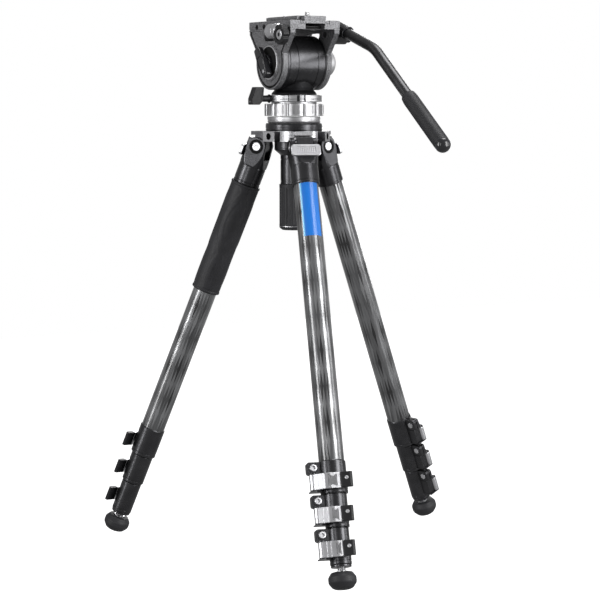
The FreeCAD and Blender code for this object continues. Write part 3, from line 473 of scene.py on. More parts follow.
BLACK = black_metal("black_anodised")
SPECKLED = speckled_metal("blasted_black")
SILVER = silver_metal("silver_anodised")
TURNED = turned_metal("turned_silver", (0.42, 0.42, 0.43), 0.36, 0.012)
RING = silver_metal("ring_silver", (0.44, 0.44, 0.45), 0.34)
KNURLED = silver_metal("knurled_grey", (0.17, 0.17, 0.175), 0.5)
MACHINED_AND_HIGHLIGHT = silver_metal("machined_and_painted_highlight", (0.6, 0.6, 0.62), 0.25)
# Darker, rougher black for the neck: painted shade under the barrel.
SHADED_BLACK = black_metal("painted_shade_black", (0.011, 0.011, 0.012), 0.5)
SATIN = black_metal("satin_black", (0.055, 0.055, 0.057), 0.33, 0.003)
STEEL = silver_metal("steel", (0.7, 0.7, 0.71), 0.26)
PALE = silver_metal("pale_blasted_silver", (0.42, 0.42, 0.43), 0.55)
GREY = silver_metal("grey_steel", (0.2, 0.2, 0.205), 0.35)
CARBON = {      # by the tube's outer radius
    radius: carbon(f"carbon_{index}", bands)
    for index, (radius, bands) in enumerate(((16.0, 24), (13.75, 20), (12.0, 18), (10.25, 16)), start=1)
}
PLASTIC = plastic("black_plastic")
# Matt black: painted shade in the side plates' grooves, round the yoke's bolt seats, behind the platform's
# set-back middle and in its holes; also the left plate's black dish.
MATT = plastic("matt_black", (0.003, 0.003, 0.003), 0.75)
RUBBER = rubber("charcoal_rubber")
GLOSS = plastic("gloss_black", (0.012, 0.012, 0.014), 0.16, 0.004)
LINER = plastic("white_liner", (0.7, 0.69, 0.66), 0.45, 0.01)
LABEL = label_print("label_blue")

LOOKS = {
    "black_anodised": BLACK, "silver_anodised": SILVER, "steel": STEEL, "carbon": CARBON[16.0],
    "black_plastic": PLASTIC, "rubber": RUBBER, "gloss_black": GLOSS, "liner": LINER,
}


# ---- frames ------------------------------------------------------------------------------

CROWN_TOP = 565.0
PAN_CENTRE = JOINTS["pan"]["pos_m"]
TRIPOD = Matrix.Translation((PAN_CENTRE[0], PAN_CENTRE[1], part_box("crown")[1].z - CROWN_TOP * MM))


def leg_frame(name):
    """Origin on the hinge pin, +X outward, +Z up along the leg."""
    hinge = JOINTS[f"{name}_splay"]
    up = -Vector(JOINTS[f"{name}_slide_1"]["axis"]).normalized()
    side = -Vector(hinge["axis"]).normalized()
    out = side.cross(up)
    columns = Matrix((out, side, up)).transposed().to_4x4()
    return Matrix.Translation(hinge["pos_m"]) @ columns


# ---- legs, in the frame of their hinge: +X outward, +Z up, so depths down the leg are negative -----------

TUBE_WALL = 1.5
UPPER, SECOND, THIRD, FOURTH = 16.0, 13.75, 12.0, 10.25
LOCKS = {       # collar's radius, top and bottom, then the radii of the tubes above and in it
    1: (17.2, 415.0, 456.0, UPPER, SECOND),
    2: (15.0, 456.4, 498.0, SECOND, THIRD),
    3: (13.5, 498.4, 543.5, THIRD, FOURTH),
}
SOCKET = 16.0       # how far the outer tube goes into the collar
RUNNING_GAP = 0.06
EAR_REACH = 16.0
EAR_HALF = 5.0
LEVER_DROP = 17.5
RECESS_MARGIN = {1: 4.6, 2: 3.6, 3: 2.8}
RIB_PITCH = 0.9
LEVER_HEIGHT = 19.4
PIVOT_OUT = 9.5
PIVOT_REACH = 10.8
BARREL = 4.2
FOOT_CENTRE = 563.0
YOKE_BORE = 16.05
SECTIONS = {        # radii of the tube outside and of the section, then the section's top and bottom
    2: (UPPER, SECOND, 70, LOCKS[2][1] + SOCKET),
    3: (SECOND, THIRD, 90, LOCKS[3][1] + SOCKET),
    4: (THIRD, FOURTH, 110, LOCKS[3][2]),
}


def tube(outer, top, bottom, wall=TUBE_WALL):
    inner = outer - wall
    return lathe([(outer, -top), (outer, -bottom), (inner, -bottom), (inner, -top)], 0.25, 128)


def hexagon(across):
    return circle(across / math.sqrt(3), 6)


def screw_head(radius, depth):
    """Round head about Z, from 0 up, with a hexagonal socket."""
    head = lathe([(0, 0), (radius, 0), (radius, depth, 0.5), (0, depth)], 0.3, 48)
    return cut(head, slab(hexagon(radius), depth * 0.35, depth + 1, 0))


def lock_collar(order):
    """Black clamp collar with its split ear, screw and lever pivot."""
    radius, top, bottom, outer, inner = LOCKS[order]
    bore_radius = inner + RUNNING_GAP
    ledge = -top - SOCKET
    near, ear_end, tab_end = -radius + 4, -radius - EAR_REACH, -radius - 14.2
    shell = lathe([
        (outer, -top), (radius - 1.0, -top, 0.2), (radius, -top - 1.2, 0.5), (radius, -bottom + 5.2, 0.2),
        (radius - 0.5, -bottom + 4.9, 0.1), (radius - 0.5, -bottom + 4.1, 0.1), (radius, -bottom + 3.8, 0.2),
        (radius, -bottom + 0.6, 0.4), (radius - 0.6, -bottom, 0.2), (bore_radius, -bottom, 0.4),
        (bore_radius, ledge, 0.1), (outer, ledge, 0.1),
    ], 0.2, 128)
    ear_top = -top - 0.5
    outline = rounded([(ledge, near), (ledge, ear_end, 3), (ear_top, ear_end, 3.5), (ear_top, near)], 0, 6)
    upper_ear = placed(slab([(y, z) for z, y in outline], -EAR_HALF, EAR_HALF, 0.7), FACING_X)
    drop = -top - LEVER_DROP
    low_tab = drop - LEVER_HEIGHT - 1.5
    lower_ear = block((-EAR_HALF, -radius - 12, drop - LEVER_HEIGHT), (EAR_HALF, near, ledge - 0.5), 0.6)
    side = PIVOT_OUT + BARREL
    tab = rounded([(0, tab_end), (side, tab_end, 3), (side, -radius - 7, 3), (0, -radius - 5)], 0.3, 5)
    tabs = [slab(tab, low, low + 1.2, 0.25) for low in (drop + 0.3, low_tab)]
    bridge = block((-EAR_HALF, tab_end, low_tab), (EAR_HALF, near, low_tab + 1.6), 0.4)
    screw_axis = shift(y=-radius - EAR_REACH / 2, z=-top - SOCKET / 2) @ ALONG_X
    rim = placed(lathe([(4.7, 4.8), (6.3, 4.8), (6.3, 5.7, 0.3), (4.7, 5.7, 0.3)], 0.2, 48), screw_axis)
    body = merged(shell, upper_ear, lower_ear, *tabs, bridge, rim)
    slit = block((-0.55, ear_end - 1, ledge - 0.2), (0.55, -outer - 0.2, -top + 1), 0)
    bore = rod(outer - 0.01, ledge + 0.05, -top + 1, 0)
    body = cut(body, slit, bore, placed(rod(4.7, 3.5, 8, 0), screw_axis))
    screw = placed(screw_head(4.5, 3.4), screw_axis @ shift(z=3.5))
    nut = placed(slab(hexagon(7.5), -6.2, -4.8, 0.3), screw_axis)
    pin = placed(rod(1.5, low_tab + 0.1, drop + 1.4, 0.2, 24), shift(PIVOT_OUT, -radius - PIVOT_REACH))
    return joined(body, painted(joined(screw, nut, pin), 1))


def hourglass(half_length, half_height, waist):
    """Outline of a finger recess, narrowed in its middle by two shallow arcs."""
    upper = []
    for step in range(17):
        x = -half_length + 2 * half_length * step / 16
        pinch = (half_height - waist) * math.cos(math.pi * x / (2 * half_length)) ** 2
        upper.append((x, half_height - pinch))
    return upper + [(x, -y) for x, y in reversed(upper)]


def lock_lever(order):
    """Silver lever round the collar's outward side, with a knurled recess and a black tip."""
    radius, top = LOCKS[order][:2]
    inside, outside = radius + 1.8, radius + 5.5
    start, tip = radius - 13.4, radius + 0.8
    pivot_y = -radius - PIVOT_REACH
    low = -top - LEVER_DROP - LEVER_HEIGHT
    high = low + LEVER_HEIGHT
    bend_x, bend_y = outside - 1.6, -radius + 1.5
    bar = slab(rounded([
        (PIVOT_OUT + BARREL - 0.1, pivot_y), (bend_x, bend_y, 6), (outside, -radius + 8, 6), (outside, start),
        (inside, start, 0.4), (inside, -radius + 10, 8), (PIVOT_OUT + 0.5, pivot_y + BARREL - 0.1),
    ], 0, 8), low, high, 0.7, 3)
    barrel = placed(ring(1.56, BARREL, low, high, 0.6, 48), shift(PIVOT_OUT, pivot_y))
    run, rise = bend_x - PIVOT_OUT - BARREL, bend_y - pivot_y
    lean = turn_about("Z", -math.degrees(math.atan2(run, rise)))
    grooves = [
        placed(block((-0.5, -0.45, low - 1), (1.5, 0.45, high + 1), 0.3),
               shift(PIVOT_OUT + BARREL + share * run, pivot_y + share * rise) @ lean)
        for share in (0.42, 0.8)
    ]
    recess_end, recess_start = start - RECESS_MARGIN[order], -radius + 5
    half = (recess_end - recess_start) / 2
    middle_z = (low + high) / 2
    face = shift(outside, (recess_end + recess_start) / 2, middle_z) @ ALONG_X @ turn_about("Z", 90)
    recess = placed(slab(hourglass(half, 7.6, 5.4), -1.3, 1, 0), face)
    body = cut(merged(bar, barrel), recess, *grooves)
    ribs = []
    for step in range(int(half * 2 / RIB_PITCH) - 1):
        edge = -half + 0.7 + RIB_PITCH * step
        ribs.append(block((edge, -5.0, -1.35), (edge + 0.45, 5.0, -0.55), 0.12))
    plate = slab(hourglass(half - 0.3, 7.2, 5.1), -1.35, -0.85, 0.1)
    pad = placed(joined(plate, *ribs), face)
    knee = tip - 3.5
    cap = slab(rounded([
        (inside + 0.2, start), (outside - 0.1, start - 0.1), (outside + 2.2, start + 0.1, 1.2),
        (outside + 5.7, knee, 2.0), (outside + 4.6, tip, 1.0), (outside + 1.0, tip, 1.0),
    ], 0, 5), low + 0.2, high - 0.2, 0.7, 3)
    tilt = turn_about("Z", -math.degrees(math.atan2(3.5, knee - start)))
    button = lathe([(0, -0.3), (2.3, -0.3), (2.3, 0.3), (1.5, 0.5), (0, 0.4)], 0.15, 32)
    placed(button, shift(outside + 4.15, (start + knee) / 2 + 1.2, middle_z + 2) @ tilt @ ALONG_X)
    return joined(body, painted(pad, 1), painted(cap, 2), button)


def foot_fittings():
    """Black plug under the last lock, and the fluted silver stem of the foot."""
    base = -LOCKS[3][2]
    plug = lathe([(0, base - 0.3), (12.8, base - 0.3), (12.8, base - 2.9), (0, base - 2.9)], 0.4)
    stem = slab(fluted(4.95, 4, 1.1, 4), -FOOT_CENTRE + 9, base - 2.5, 0)
    core = rod(4.9, -FOOT_CENTRE, -FOOT_CENTRE + 9.5)
    return joined(painted(plug, 1), stem, core)


def rubber_foot():
    """Bun-shaped rubber foot with a ring groove under it and a silver collar in its top."""
    bun = lathe([
        (5.06, 10), (8, 10, 0.3), (8, 10.9, 0.3), (13.2, 10.6, 2.6), (17.45, 4.5, 4.5), (17.45, -2.5, 5.5),
        (13.0, -8.4, 3.5), (9.5, -10.0, 0.4), (9.5, -9.4, 0.3), (8.2, -9.4, 0.3), (8.2, -10.35, 0.4),
        (0, -10.35), (0, -1.5), (5.06, -1.5),
    ])
    return placed(joined(bun, painted(ring(5.1, 7.5, 10.2, 11.8, 0.35, 64), 1)), shift(z=-FOOT_CENTRE))


def leg_yoke():
    """Forked casting with flared cheeks, sunk bolt seats and a ringed sleeve."""
    lie = Matrix(((1, 0, 0, 0), (0, 0, -1, 0), (0, 1, 0, 0), (0, 0, 0, 1)))
    cheek = mirrored([(11.7, 11.7, 11.6), (13.5, -6, 8), (17.6, -27.5)])
    fork = panel(lie, cheek, -17.5, 17.5, 1.2, 0, 12, 3)
    flare = lathe([(0, -28), (18.0, -28), (24.5, 12), (0, 12)], 0)
    body = combined("INTERSECT", fork, flare)
    sleeve = lathe([
        (0, -27), (17.6, -27), (18.0, -28.2, 0.4), (18.0, -48.6, 0.3), (17.4, -49.0, 0.2), (17.4, -49.8, 0.2),
        (18.0, -50.2, 0.3), (18.0, -52.7, 0.6), (YOKE_BORE, -52.7, 0.2), (YOKE_BORE, -30), (0, -30),
    ], 0.2, 128)
    slot = block((-26, -12.3, -14.5), (26, 12.3, 26), 0)
    cheeks = (ALONG_Y, turn_about("Z", 180) @ ALONG_Y)
    seat = [(0, 13.9), (6.5, 13.9), (6.5, 17.1, 0.2), (7.4, 18.4, 0), (0, 18.4)]
    seats = [placed(lathe(seat, 0, 64), turn) for turn in cheeks]
    pin = placed(rod(4.06, -19, 19, 0), ALONG_Y)
    bore = rod(YOKE_BORE, -53, -30, 0, 128)
    # Matt black ring round each bolt seat: painted shade of a sunk seat.
    rim = [(6.6, 17.3), (9.6, 17.3), (9.6, 17.62, 0.1), (6.6, 17.62, 0.1)]
    seat_shade_rings = [painted(placed(lathe(rim, 0.05), turn), 1) for turn in cheeks]
    return joined(cut(merged(cut(body, slot, pin, *seats), sleeve), bore), *seat_shade_rings)


def stop_latch():
    """Silver angle-stop plate with a sunk panel, and its tongue under the crown's slab."""
    plate = panel(FACING_X, mirrored([(19.5, -3, 3.5), (19.5, -18, 3.5)]), 15.4, 19.4, 0.8, 0, 6, 3)
    sunk = panel(FACING_X, mirrored([(13, -6.2), (13, -14.8)]), 18.3, 20.5, 0, 1.5, 5)
    ridges = [block((18.2, near, -14.2), (18.9, near + 1.1, -6.8), 0.25)
              for near in (-12 + 2.4 * step for step in range(10))]
    tongue = block((12.3, -10.5, -14.2), (16.4, 10.5, 8), 0.6)
    return joined(cut(plate, sunk), painted(tongue, 1), *ridges)


def hand_grip():
    """Rubber sleeve embossed with long crossing leaf curves."""
    rows, columns = 220, 144
    top, bottom = 53.2, 209.0
    shape = bmesh.new()
    turns = [2 * math.pi * column / columns for column in range(columns)]
    rings = []
    for row in range(rows + 1):
        share = row / rows
        depth = top + (bottom - top) * share
        end = min(depth - top, bottom - depth)
        swing = 1.5 * math.sin(depth / 23.0)
        lip = 0.55 if end < 3.4 else 0.0
        plain = 19.4 - 0.85 * share + lip - 1.2 * max(0.0, 1 - end / 0.8) ** 2
        fade = 0.5 * min(1.0, max(0.0, (end - 5.0) / 1.5))
        level = []
        for turn in turns:
            ridge = max(math.cos(3 * turn + swing), math.cos(3 * turn - swing + 1.0))
            radius = plain + fade * min(1.0, max(0.0, (ridge - 0.72) / 0.18))
            level.append(shape.verts.new((radius * math.cos(turn), radius * math.sin(turn), -depth)))
        rings.append(level)
    for depth in (bottom, top):
        rings.append([shape.verts.new((x, y, -depth)) for x, y in circle(UPPER + 0.03, columns)])
    return skin(shape, rings, closed=True)


def leg_label():
    """Thin printed band wrapped over the outward side of the front leg's upper tube."""
    rows, columns, half_turn = 24, 32, math.radians(46)
    top, bottom = 53.4, 125.0
    turns = [half_turn * (2 * column / columns - 1) for column in range(columns + 1)]
    under, over = UPPER + 0.02, UPPER + 0.14
    around = [(under, turn) for turn in turns] + [(over, turn) for turn in reversed(turns)]
    shape = bmesh.new()
    rings = []
    for row in range(rows + 1):
        height = -top - (bottom - top) * row / rows
        rings.append([shape.verts.new((r * math.cos(t), r * math.sin(t), height)) for r, t in around])
    for end in (rings[0], rings[-1]):
        for column in range(columns):
            shape.faces.new((end[column], end[column + 1], end[-2 - column], end[-1 - column]))
    return skin(shape, rings)


def make_legs():
    """The three legs, and the names of the CAD nodes that they stand for."""
    done = set()
    yoke, latch, foot, fittings = leg_yoke(), stop_latch(), rubber_foot(), foot_fittings()
    collars = {order: lock_collar(order) for order in LOCKS}
    levers = {order: lock_lever(order) for order in LOCKS}
    upper_tube = tube(UPPER, 30, LOCKS[1][1] + SOCKET)
    sections = {}
    for index, (outer, inner, top, bottom) in SECTIONS.items():
        guide = outer - TUBE_WALL - RUNNING_GAP
        sections[index] = (inner, tube(inner, top, bottom), tube(guide, top, top + 12, guide - inner))
    for name in LEG_NAMES:
        place = leg_frame(name)
        leg = f"{name}_leg"

        def add_piece(label, shape, body, looks, slot, *nodes):
            nodes = [f"{name}_{node}" for node in nodes]
            piece(f"{name}_{label}", shape.copy(), place, body, looks, slot, *nodes)
            done.update(nodes)

        add_piece("yoke_casting", yoke, leg, [BLACK, MATT], "black_anodised", "yoke")
        add_piece("carbon_1", upper_tube, leg, CARBON[UPPER], "carbon", "upper_tube")
        add_piece("collar_1", collars[1], leg, [BLACK, SILVER], "black_anodised", "lock")
        add_piece("angle_stop", latch, f"{name}_latch", [SILVER, BLACK], "silver_anodised", "stop_latch")
        for index, (radius, section, bush) in sections.items():
            body = f"{name}_section_{index}"
            add_piece(f"carbon_{index}", section, body, CARBON[radius], "carbon", f"section_{index}")
            add_piece(f"guide_bush_{index}", bush, body, PLASTIC, "black_plastic")
            if index in collars:
                add_piece(f"collar_{index}", collars[index], body, [BLACK, SILVER], "black_anodised")
            else:
                add_piece("foot_stem", fittings, body, [GREY, BLACK], "silver_anodised")
        for order, lever in levers.items():
            body = f"{name}_lever_{order}"
            add_piece(f"flip_lever_{order}", lever, body, [SILVER, KNURLED, PLASTIC], "silver_anodised",
                      f"lever_{order}")
        add_piece("rubber_foot", foot, f"{name}_foot", [RUBBER, SILVER], "rubber", "foot")
    piece("left_leaf_grip", hand_grip(), leg_frame("left"), "left_leg", RUBBER, "rubber", "left_hand_grip",
          smooth=60)
    piece("front_label", leg_label(), leg_frame("front"), "front_leg", LABEL, "gloss_black")
    return done | {"left_hand_grip"}


# ---- crown and leveling base, in the tripod's own frame: axis at X = Y = 0, feet near Z = 0 ---------------

LUG_REACH, WALL_REACH = 44, (36, 37.2)      # distances from the axis of the crown's bright faces
BALL_CENTRE, BALL_RADIUS = 584.0, 39.0
RING_BOTTOM, RING_TOP, RING_RADIUS = 574.4, 590.3, 39.0
FACETS = 12
FACET_TURN = 17.6
LOCK_AXIS = shift(z=597.0) @ ALONG_X


def crown_casting():
    """The CAD's spider with a groove round its rim; the ends of its lugs and sockets are bright silver, as
    machined faces and as a painted highlight on them.
    """
    body = cut(softened("crown", TRIPOD, 0.5), ring(37.0, 38.5, 557.6, 558.5, 0, 128))
    for face in body.faces:
        middle = face.calc_center_median()
        outward = Vector((middle.x, middle.y, 0)).normalized()
        reach = middle.to_2d().length
        is_end = reach > LUG_REACH or WALL_REACH[0] < reach < WALL_REACH[1]
        # Outward ends of lugs and sockets in bright silver: machined faces, with a painted highlight.
        if 541 < middle.z < 555 and is_end and face.normal.dot(outward) > 0.7:
            face.material_index = 1
    return body


def hinge_bolts():
    """Silver bolts with a conical ring and a round shallow recess in each head."""
    seat = shift(z=14.4)
    profile = [(0, 0), (6.2, 0), (6.2, 2.2, 0.4), (5.2, 2.9, 0.5), (2.2, 2.9, 0.2), (2.0, 2.2, 0.1), (0, 2.2)]
    bolts = []
    for name in LEG_NAMES:
        hinge = TRIPOD.inverted() @ leg_frame(name)
        pin = Matrix.Translation(hinge.translation / MM) @ hinge.to_3x3().to_4x4() @ ALONG_Y
        heads = [placed(lathe(profile, 0.2, 64), turn @ seat) for turn in (shift(), turn_about("X", 180))]
        bolts.append(placed(joined(rod(4, -14.3, 14.3), *heads), pin))
    return joined(*bolts)


def half_ball():
    """Leveling ball with its grooved top ring, and the stud under it."""
    arc = []
    for step in range(13):
        height = 547 + (567.2 - 547) * step / 12
        arc.append((math.sqrt(BALL_RADIUS ** 2 - (BALL_CENTRE - height) ** 2), height, 0))
    rim = [(35.2, 568.0, 0.1), (34.3, 568.2, 0.1), (34.3, 569.2, 0.1), (35.2, 569.4, 0.1), (35.2, 573.5, 0.6)]
    return lathe([(0, 490), (6, 490, 0.6), (6, 547, 0)] + arc + rim + [(0, 573.5)], 0.2, 128)


def clamp_washer():
    """Domed washer under the bowl, and the polished lip below it."""
    return softened("clamp_washer", TRIPOD, 0.3)


def leveling_stem():
    """Turned handle under the crown, with two grooves below its cone."""
    grooves = [ring(17.2, 19, low, low + 0.9, 0) for low in (516.5, 488.0)]
    return cut(softened("leveling_handle", TRIPOD, 0.5), *grooves)


def leveling_sleeve():
    """Rubber grip with upright flutes and a plain band at each end, and a thin silver ring above the lower band
    that is a painted highlight.
    """
    sleeve = slab(fluted(19.5, 24, 0.75, 2, 288), 431.5, 480.5, 0.25)
    bands = [
        lathe([(14.1, 480), (19.6, 480, 0.4), (19.6, 484.7, 0.6), (14.1, 484.7)], 0.2, 128),
        lathe([(0, 424), (15.5, 424, 0.6), (18.9, 426.4, 1.2), (19.6, 428.0, 0.5), (19.6, 432), (0, 432)],
              0.2, 128),
    ]
    # Thin silver ring above the lower band: a painted highlight.
    ring_highlight = ring(18.6, 19.75, 428.6, 429.3, 0.1, 128)
    return joined(cut(sleeve, rod(14.1, 430, 482, 0)), *bands, painted(ring_highlight, 1))


def drag_ring():
    """Faceted ring with a dark gap between facets, and a knurled patch on each facet."""
    rows, ribs = [], []
    for facet in range(FACETS):
        start = FACET_TURN + 360 / FACETS * facet
        corners = []
        for step in range(13):
            share = step / 12
            bow = 0.7 * abs(2 * share - 1) ** 2.5
            corners.append((RING_RADIUS - bow, math.radians(start + 1.6 + share * (360 / FACETS - 3.2))))
        corners.append((RING_RADIUS - 2.2, math.radians(start + 360 / FACETS)))
        rows += [(reach * math.cos(turn), reach * math.sin(turn)) for reach, turn in corners]
        for row in range(9):
            height = RING_BOTTOM + 2.9 + 1.25 * row
            rib = block((38.2, -4.6, height), (RING_RADIUS - 0.05, 4.6, height + 0.6), 0.12)
            ribs.append(placed(rib, turn_about("Z", start + 180 / FACETS)))
    body = cut(slab(rows, RING_BOTTOM, RING_TOP, 0.5), rod(30.4, RING_BOTTOM - 1, RING_TOP + 1, 0, 96))
    return joined(body, painted(joined(*ribs), 1))


def pan_base():
    """Silver flange with a dark shadow gap under it, index slots and the pan lock's bore; a black ring inside it
    shows at the back of the slots as painted shade.
    """
    body = lathe([
        (12.06, 578), (30, 578, 0.2), (30, 592.8, 0.2), (36.4, 592.8, 0.3), (37, 593.4, 0.3),
        (37, 595.6, 0.1), (36.5, 595.9, 0.1), (36.5, 596.5, 0.1), (37, 596.8, 0.1), (37, 601.0, 0.5),
        (36.2, 601.8, 0.3), (12.06, 601.8),
    ], 0.2, 160)
    slots = [
        placed(block((33.5, -half, 592), (38, half, 603), 0), turn_about("Z", turn))
        for turn, half in ((247.7, 2.0), (228.0, 0.5), (261.4, 1.2), (67.7, 2.0), (48.0, 0.5))
    ]
    bore = placed(rod(4.36, -40, -10, 0, 48), LOCK_AXIS)
    # Black ring inside the flange, seen at the back of the slots: painted shade.
    inner = ring(33.0, 34.4, 593.2, 601.4, 0.1, 128)
    return joined(cut(body, *slots, bore), painted(cut(inner, bore), 1))


def pan_lock():
    """Leaning wing knob on its screw, with a sunk face and a small silver end cap."""
    wing = [(-50, 594), (-48.2, 612), (-61, 612), (-67, 597), (-67, 589), (-55, 589)]
    paddle = panel(FACING_Y, wing, -5.5, 5.5, 1.1, 1.6, 5, 3)
    sunk = [(-52.2, 595.5), (-50.9, 609.6), (-59.8, 609.6), (-64.4, 597.6), (-64.4, 591.6), (-56, 591.6)]
    faces = [panel(FACING_Y, sunk, low, low + 1.6, 0, 1.0, 4) for low in (-6.6, 5.0)]
    shaft = lathe([
        (0, -51), (4.25, -51), (4.25, -39), (5.6, -38.6), (5.6, -37.5), (4.25, -37.2), (4.25, -13), (0, -13),
    ], 0.2, 48)
    cap = placed(rod(1.4, -67.0, -66.0, 0.2, 24), shift(z=593.2) @ ALONG_X)
    return joined(cut(paddle, *faces), placed(shaft, LOCK_AXIS), painted(cap, 1))


# ---- head ------------------------------------------------------------------------------------------------

TILT_HEIGHT = 643.8
TILT_AXIS = shift(z=TILT_HEIGHT) @ ALONG_X
ROSETTE_AXIS = shift(y=-29, z=680) @ ALONG_X
CLAMP_AXIS = shift(y=-44, z=678.5) @ turn_about("Y", -90)
PLATE_INNER, PLATE_OUTER, PLATE_RADIUS = 29.5, 37.0, 35.5
ARM_REACH, ARM_FOOT = 53.0, (34.0, 656.0)
ARM_CORNER, ARM_TOP = 681.0, 685.0
PLATFORM_HALF = 53
SCREW_Y = -33


def barrel_and_neck():
    """Flared neck, and the barrel with its seams, end rings and inner bore; the neck's darker, rougher black is
    painted shade under the barrel.
    """
    seams = [(26.4, 0.8), (16.5, 0.5), (-13.5, 0.6), (-26.4, 0.8)]
    profile = [(10.06, 29.2), (35.0, 29.2, 0.4)]
    for middle, width in seams:
        profile += [(35.3, middle + width, 0.15), (34.5, middle + width / 2, 0.1),
                    (34.5, middle - width / 2, 0.1), (35.3, middle - width, 0.15)]
    profile += [(35.0, -29.2, 0.4), (10.06, -29.2), (10.06, -14.3), (20.3, -14.3), (20.3, 14.3),
                (10.06, 14.3)]
    # The neck takes the darker, rougher black: painted shade under the barrel.
    neck = lathe([
        (0, 579), (12, 579, 0.4), (12, 602.1, 0.2), (29.6, 602.1, 0.4), (30, 602.6, 0.3), (29.4, 604.4, 2.0),
        (26.4, 607.4, 4.0), (25, 611.5, 2.0), (25, 620.0), (0, 620.0),
    ], 0.2, 160)
    return joined(placed(lathe(profile, 0.2, 192), TILT_AXIS), painted(neck, 1))


def plate_outline(inset):
    """Round plate with two arms up to the platform; an inset draws in its flanks, not its top."""
    flank = Vector((ARM_REACH - ARM_FOOT[0], ARM_CORNER - ARM_FOOT[1])).normalized()
    outward = Vector((flank.y, -flank.x))
    radius = PLATE_RADIUS - inset
    base = Vector((ARM_FOOT[0], ARM_FOOT[1] - TILT_HEIGHT)) - outward * inset
    toward = base.dot(flank)
    reach = -toward + math.sqrt(toward ** 2 - base.length_squared + radius ** 2)
    joint = base + flank * reach
    lift = (ARM_CORNER - TILT_HEIGHT - base.y) / flank.y
    corner = base + flank * lift
    top = ARM_TOP - TILT_HEIGHT + (1 if inset else 0)
    end = min(corner.x, ARM_REACH - inset)
    angle = math.atan2(joint.y, joint.x)
    sweep = math.pi + 2 * angle
    arc = [(radius * math.cos(angle - sweep * step / 72), radius * math.sin(angle - sweep * step / 72))
           for step in range(73)]
    points = [(-end, top), (end, top), (end, corner.y)] + arc + [(-end, corner.y)]
    return [(y, z + TILT_HEIGHT) for y, z in points]


def inset_plate(inset, low, high, bevel=0.0):
    return placed(slab(plate_outline(inset), low, high, bevel), FACING_X)


def side_plate(side, axis, bore_radius):
    """Grey plate with a rim, a groove that follows it, and a hole for what passes through it; a matt black sheet
    on the groove's floor is painted shade.
    """
    low, high = sorted((side * PLATE_INNER, side * PLATE_OUTER))
    face = side * PLATE_OUTER
    near, far = sorted((face - side * 1.5, face + side * 1.0))
    groove = cut(inset_plate(2.3, near, far), inset_plate(5.0, near - 1, far + 1))
    window = panel(FACING_X, mirrored([(12, 671.5), (17, 682.5)]), low - 1, high + 1, 0, 2.5, 5)
    bore = placed(rod(10, low - 1, high + 1, 0, 96), TILT_AXIS)
    # Matt black sheet on the groove's floor: painted shade in the groove.
    near, far = sorted((face - side * 1.7, face - side * 1.4))
    floor = cut(inset_plate(2.1, near, far), inset_plate(5.2, near - 1, far + 1))
    body = cut(inset_plate(0, low, high, 0.5), groove, window, bore)
    hole = placed(rod(bore_radius, 28, 44, 0, 48), axis)
    return joined(cut(body, hole), painted(floor, 1))


def left_plate():
    """Plate with a round boss on the tilt axis, round a thin silver rim that is a painted highlight on the boss's
    bevel, and a black dish.
    """
    boss = lathe([(10.2, 36.8), (24.4, 36.8), (24.4, 37.6, 0.3), (23.6, 38.2, 0.2), (10.2, 38.2)], 0.2, 128)
    # Thin silver rim: a painted highlight on the boss's bevel.
    rim = lathe([(20.5, 38.1), (22.2, 38.1), (22.0, 38.9, 0.2), (20.5, 39.4, 0.2)], 0.2, 128)
    dish = lathe([(10.2, 38.1), (20.6, 38.1), (20.6, 39.2), (10.2, 39.0)], 0.2)
    centre = joined(boss, painted(rim, 2), painted(dish, 1))
    placed(centre, shift(z=TILT_HEIGHT) @ turn_about("Y", -90))
    return joined(side_plate(-1, CLAMP_AXIS, 3.56), centre)


def right_plate():
    """Plate with the toothed rosette that the handle clamps onto."""
    rosette = lathe([(4.06, 36), (13, 36), (13, 41.6, 0.4), (12.4, 42.2, 0.2), (4.06, 42.2)], 0.3)
    teeth = [placed(block((6.5, -0.35, 42.0), (12.2, 0.35, 42.5), 0.1), turn_about("Z", 10 * step))
             for step in range(36)]
    boss = placed(lathe([(10.2, 36.8), (23.5, 36.8), (23.5, 37.2, 0.2), (10.2, 37.2)], 0.2, 128), TILT_AXIS)
    return joined(side_plate(1, ROSETTE_AXIS, 4.06), placed(joined(rosette, *teeth), ROSETTE_AXIS), boss)


def platform():
    """Channelled platform: blasted rails, stepped inner edges, set-back middle and side holes; a matt black wall
    behind the set-back middle and plugs deep in the holes are painted shade.
    """
    right = [
        (29.2, 686.2), (29.2, 685), (37.5, 685), (37.5, 686.6, 0.2), (36.7, 686.8, 0.1), (36.7, 687.5, 0.1),
        (37.5, 687.7, 0.2), (37.5, 697.5, 0.8), (22.2, 697.5, 0.4), (22.2, 693.0), (14.5, 693.0, 0.3),
        (14.5, 690.0),
    ]
    body = panel(FACING_Y, mirrored(right), -PLATFORM_HALF, PLATFORM_HALF, 0.5)
    places = [shift(y=y, z=690.5) @ ALONG_X for y in (33, 14)]
    holes = [placed(rod(3.4, -39, -31, 0, 48), place) for place in places]
    seat = placed(rod(13.3, 36, 43, 0, 96), ROSETTE_AXIS)
    near_end = block((-14.4, -54, 682), (14.4, -44, 699), 0)
    lines = [block((low, -54, 686.9), (low + 8, -52.4, 687.6), 0) for low in (30.0, -38.0)]
    body = cut(body, seat, near_end, *holes, *lines)
    # Matt black wall behind the set-back middle and plugs deep in the side holes: painted shade.
    wall = block((-14.3, -44.1, 686.4), (14.3, -43.6, 689.8), 0.1)
    hole_shade_plugs = [placed(rod(3.3, -35.5, -32, 0.1, 48), place) for place in places]
    return joined(body, painted(joined(wall, *hole_shade_plugs), 1))


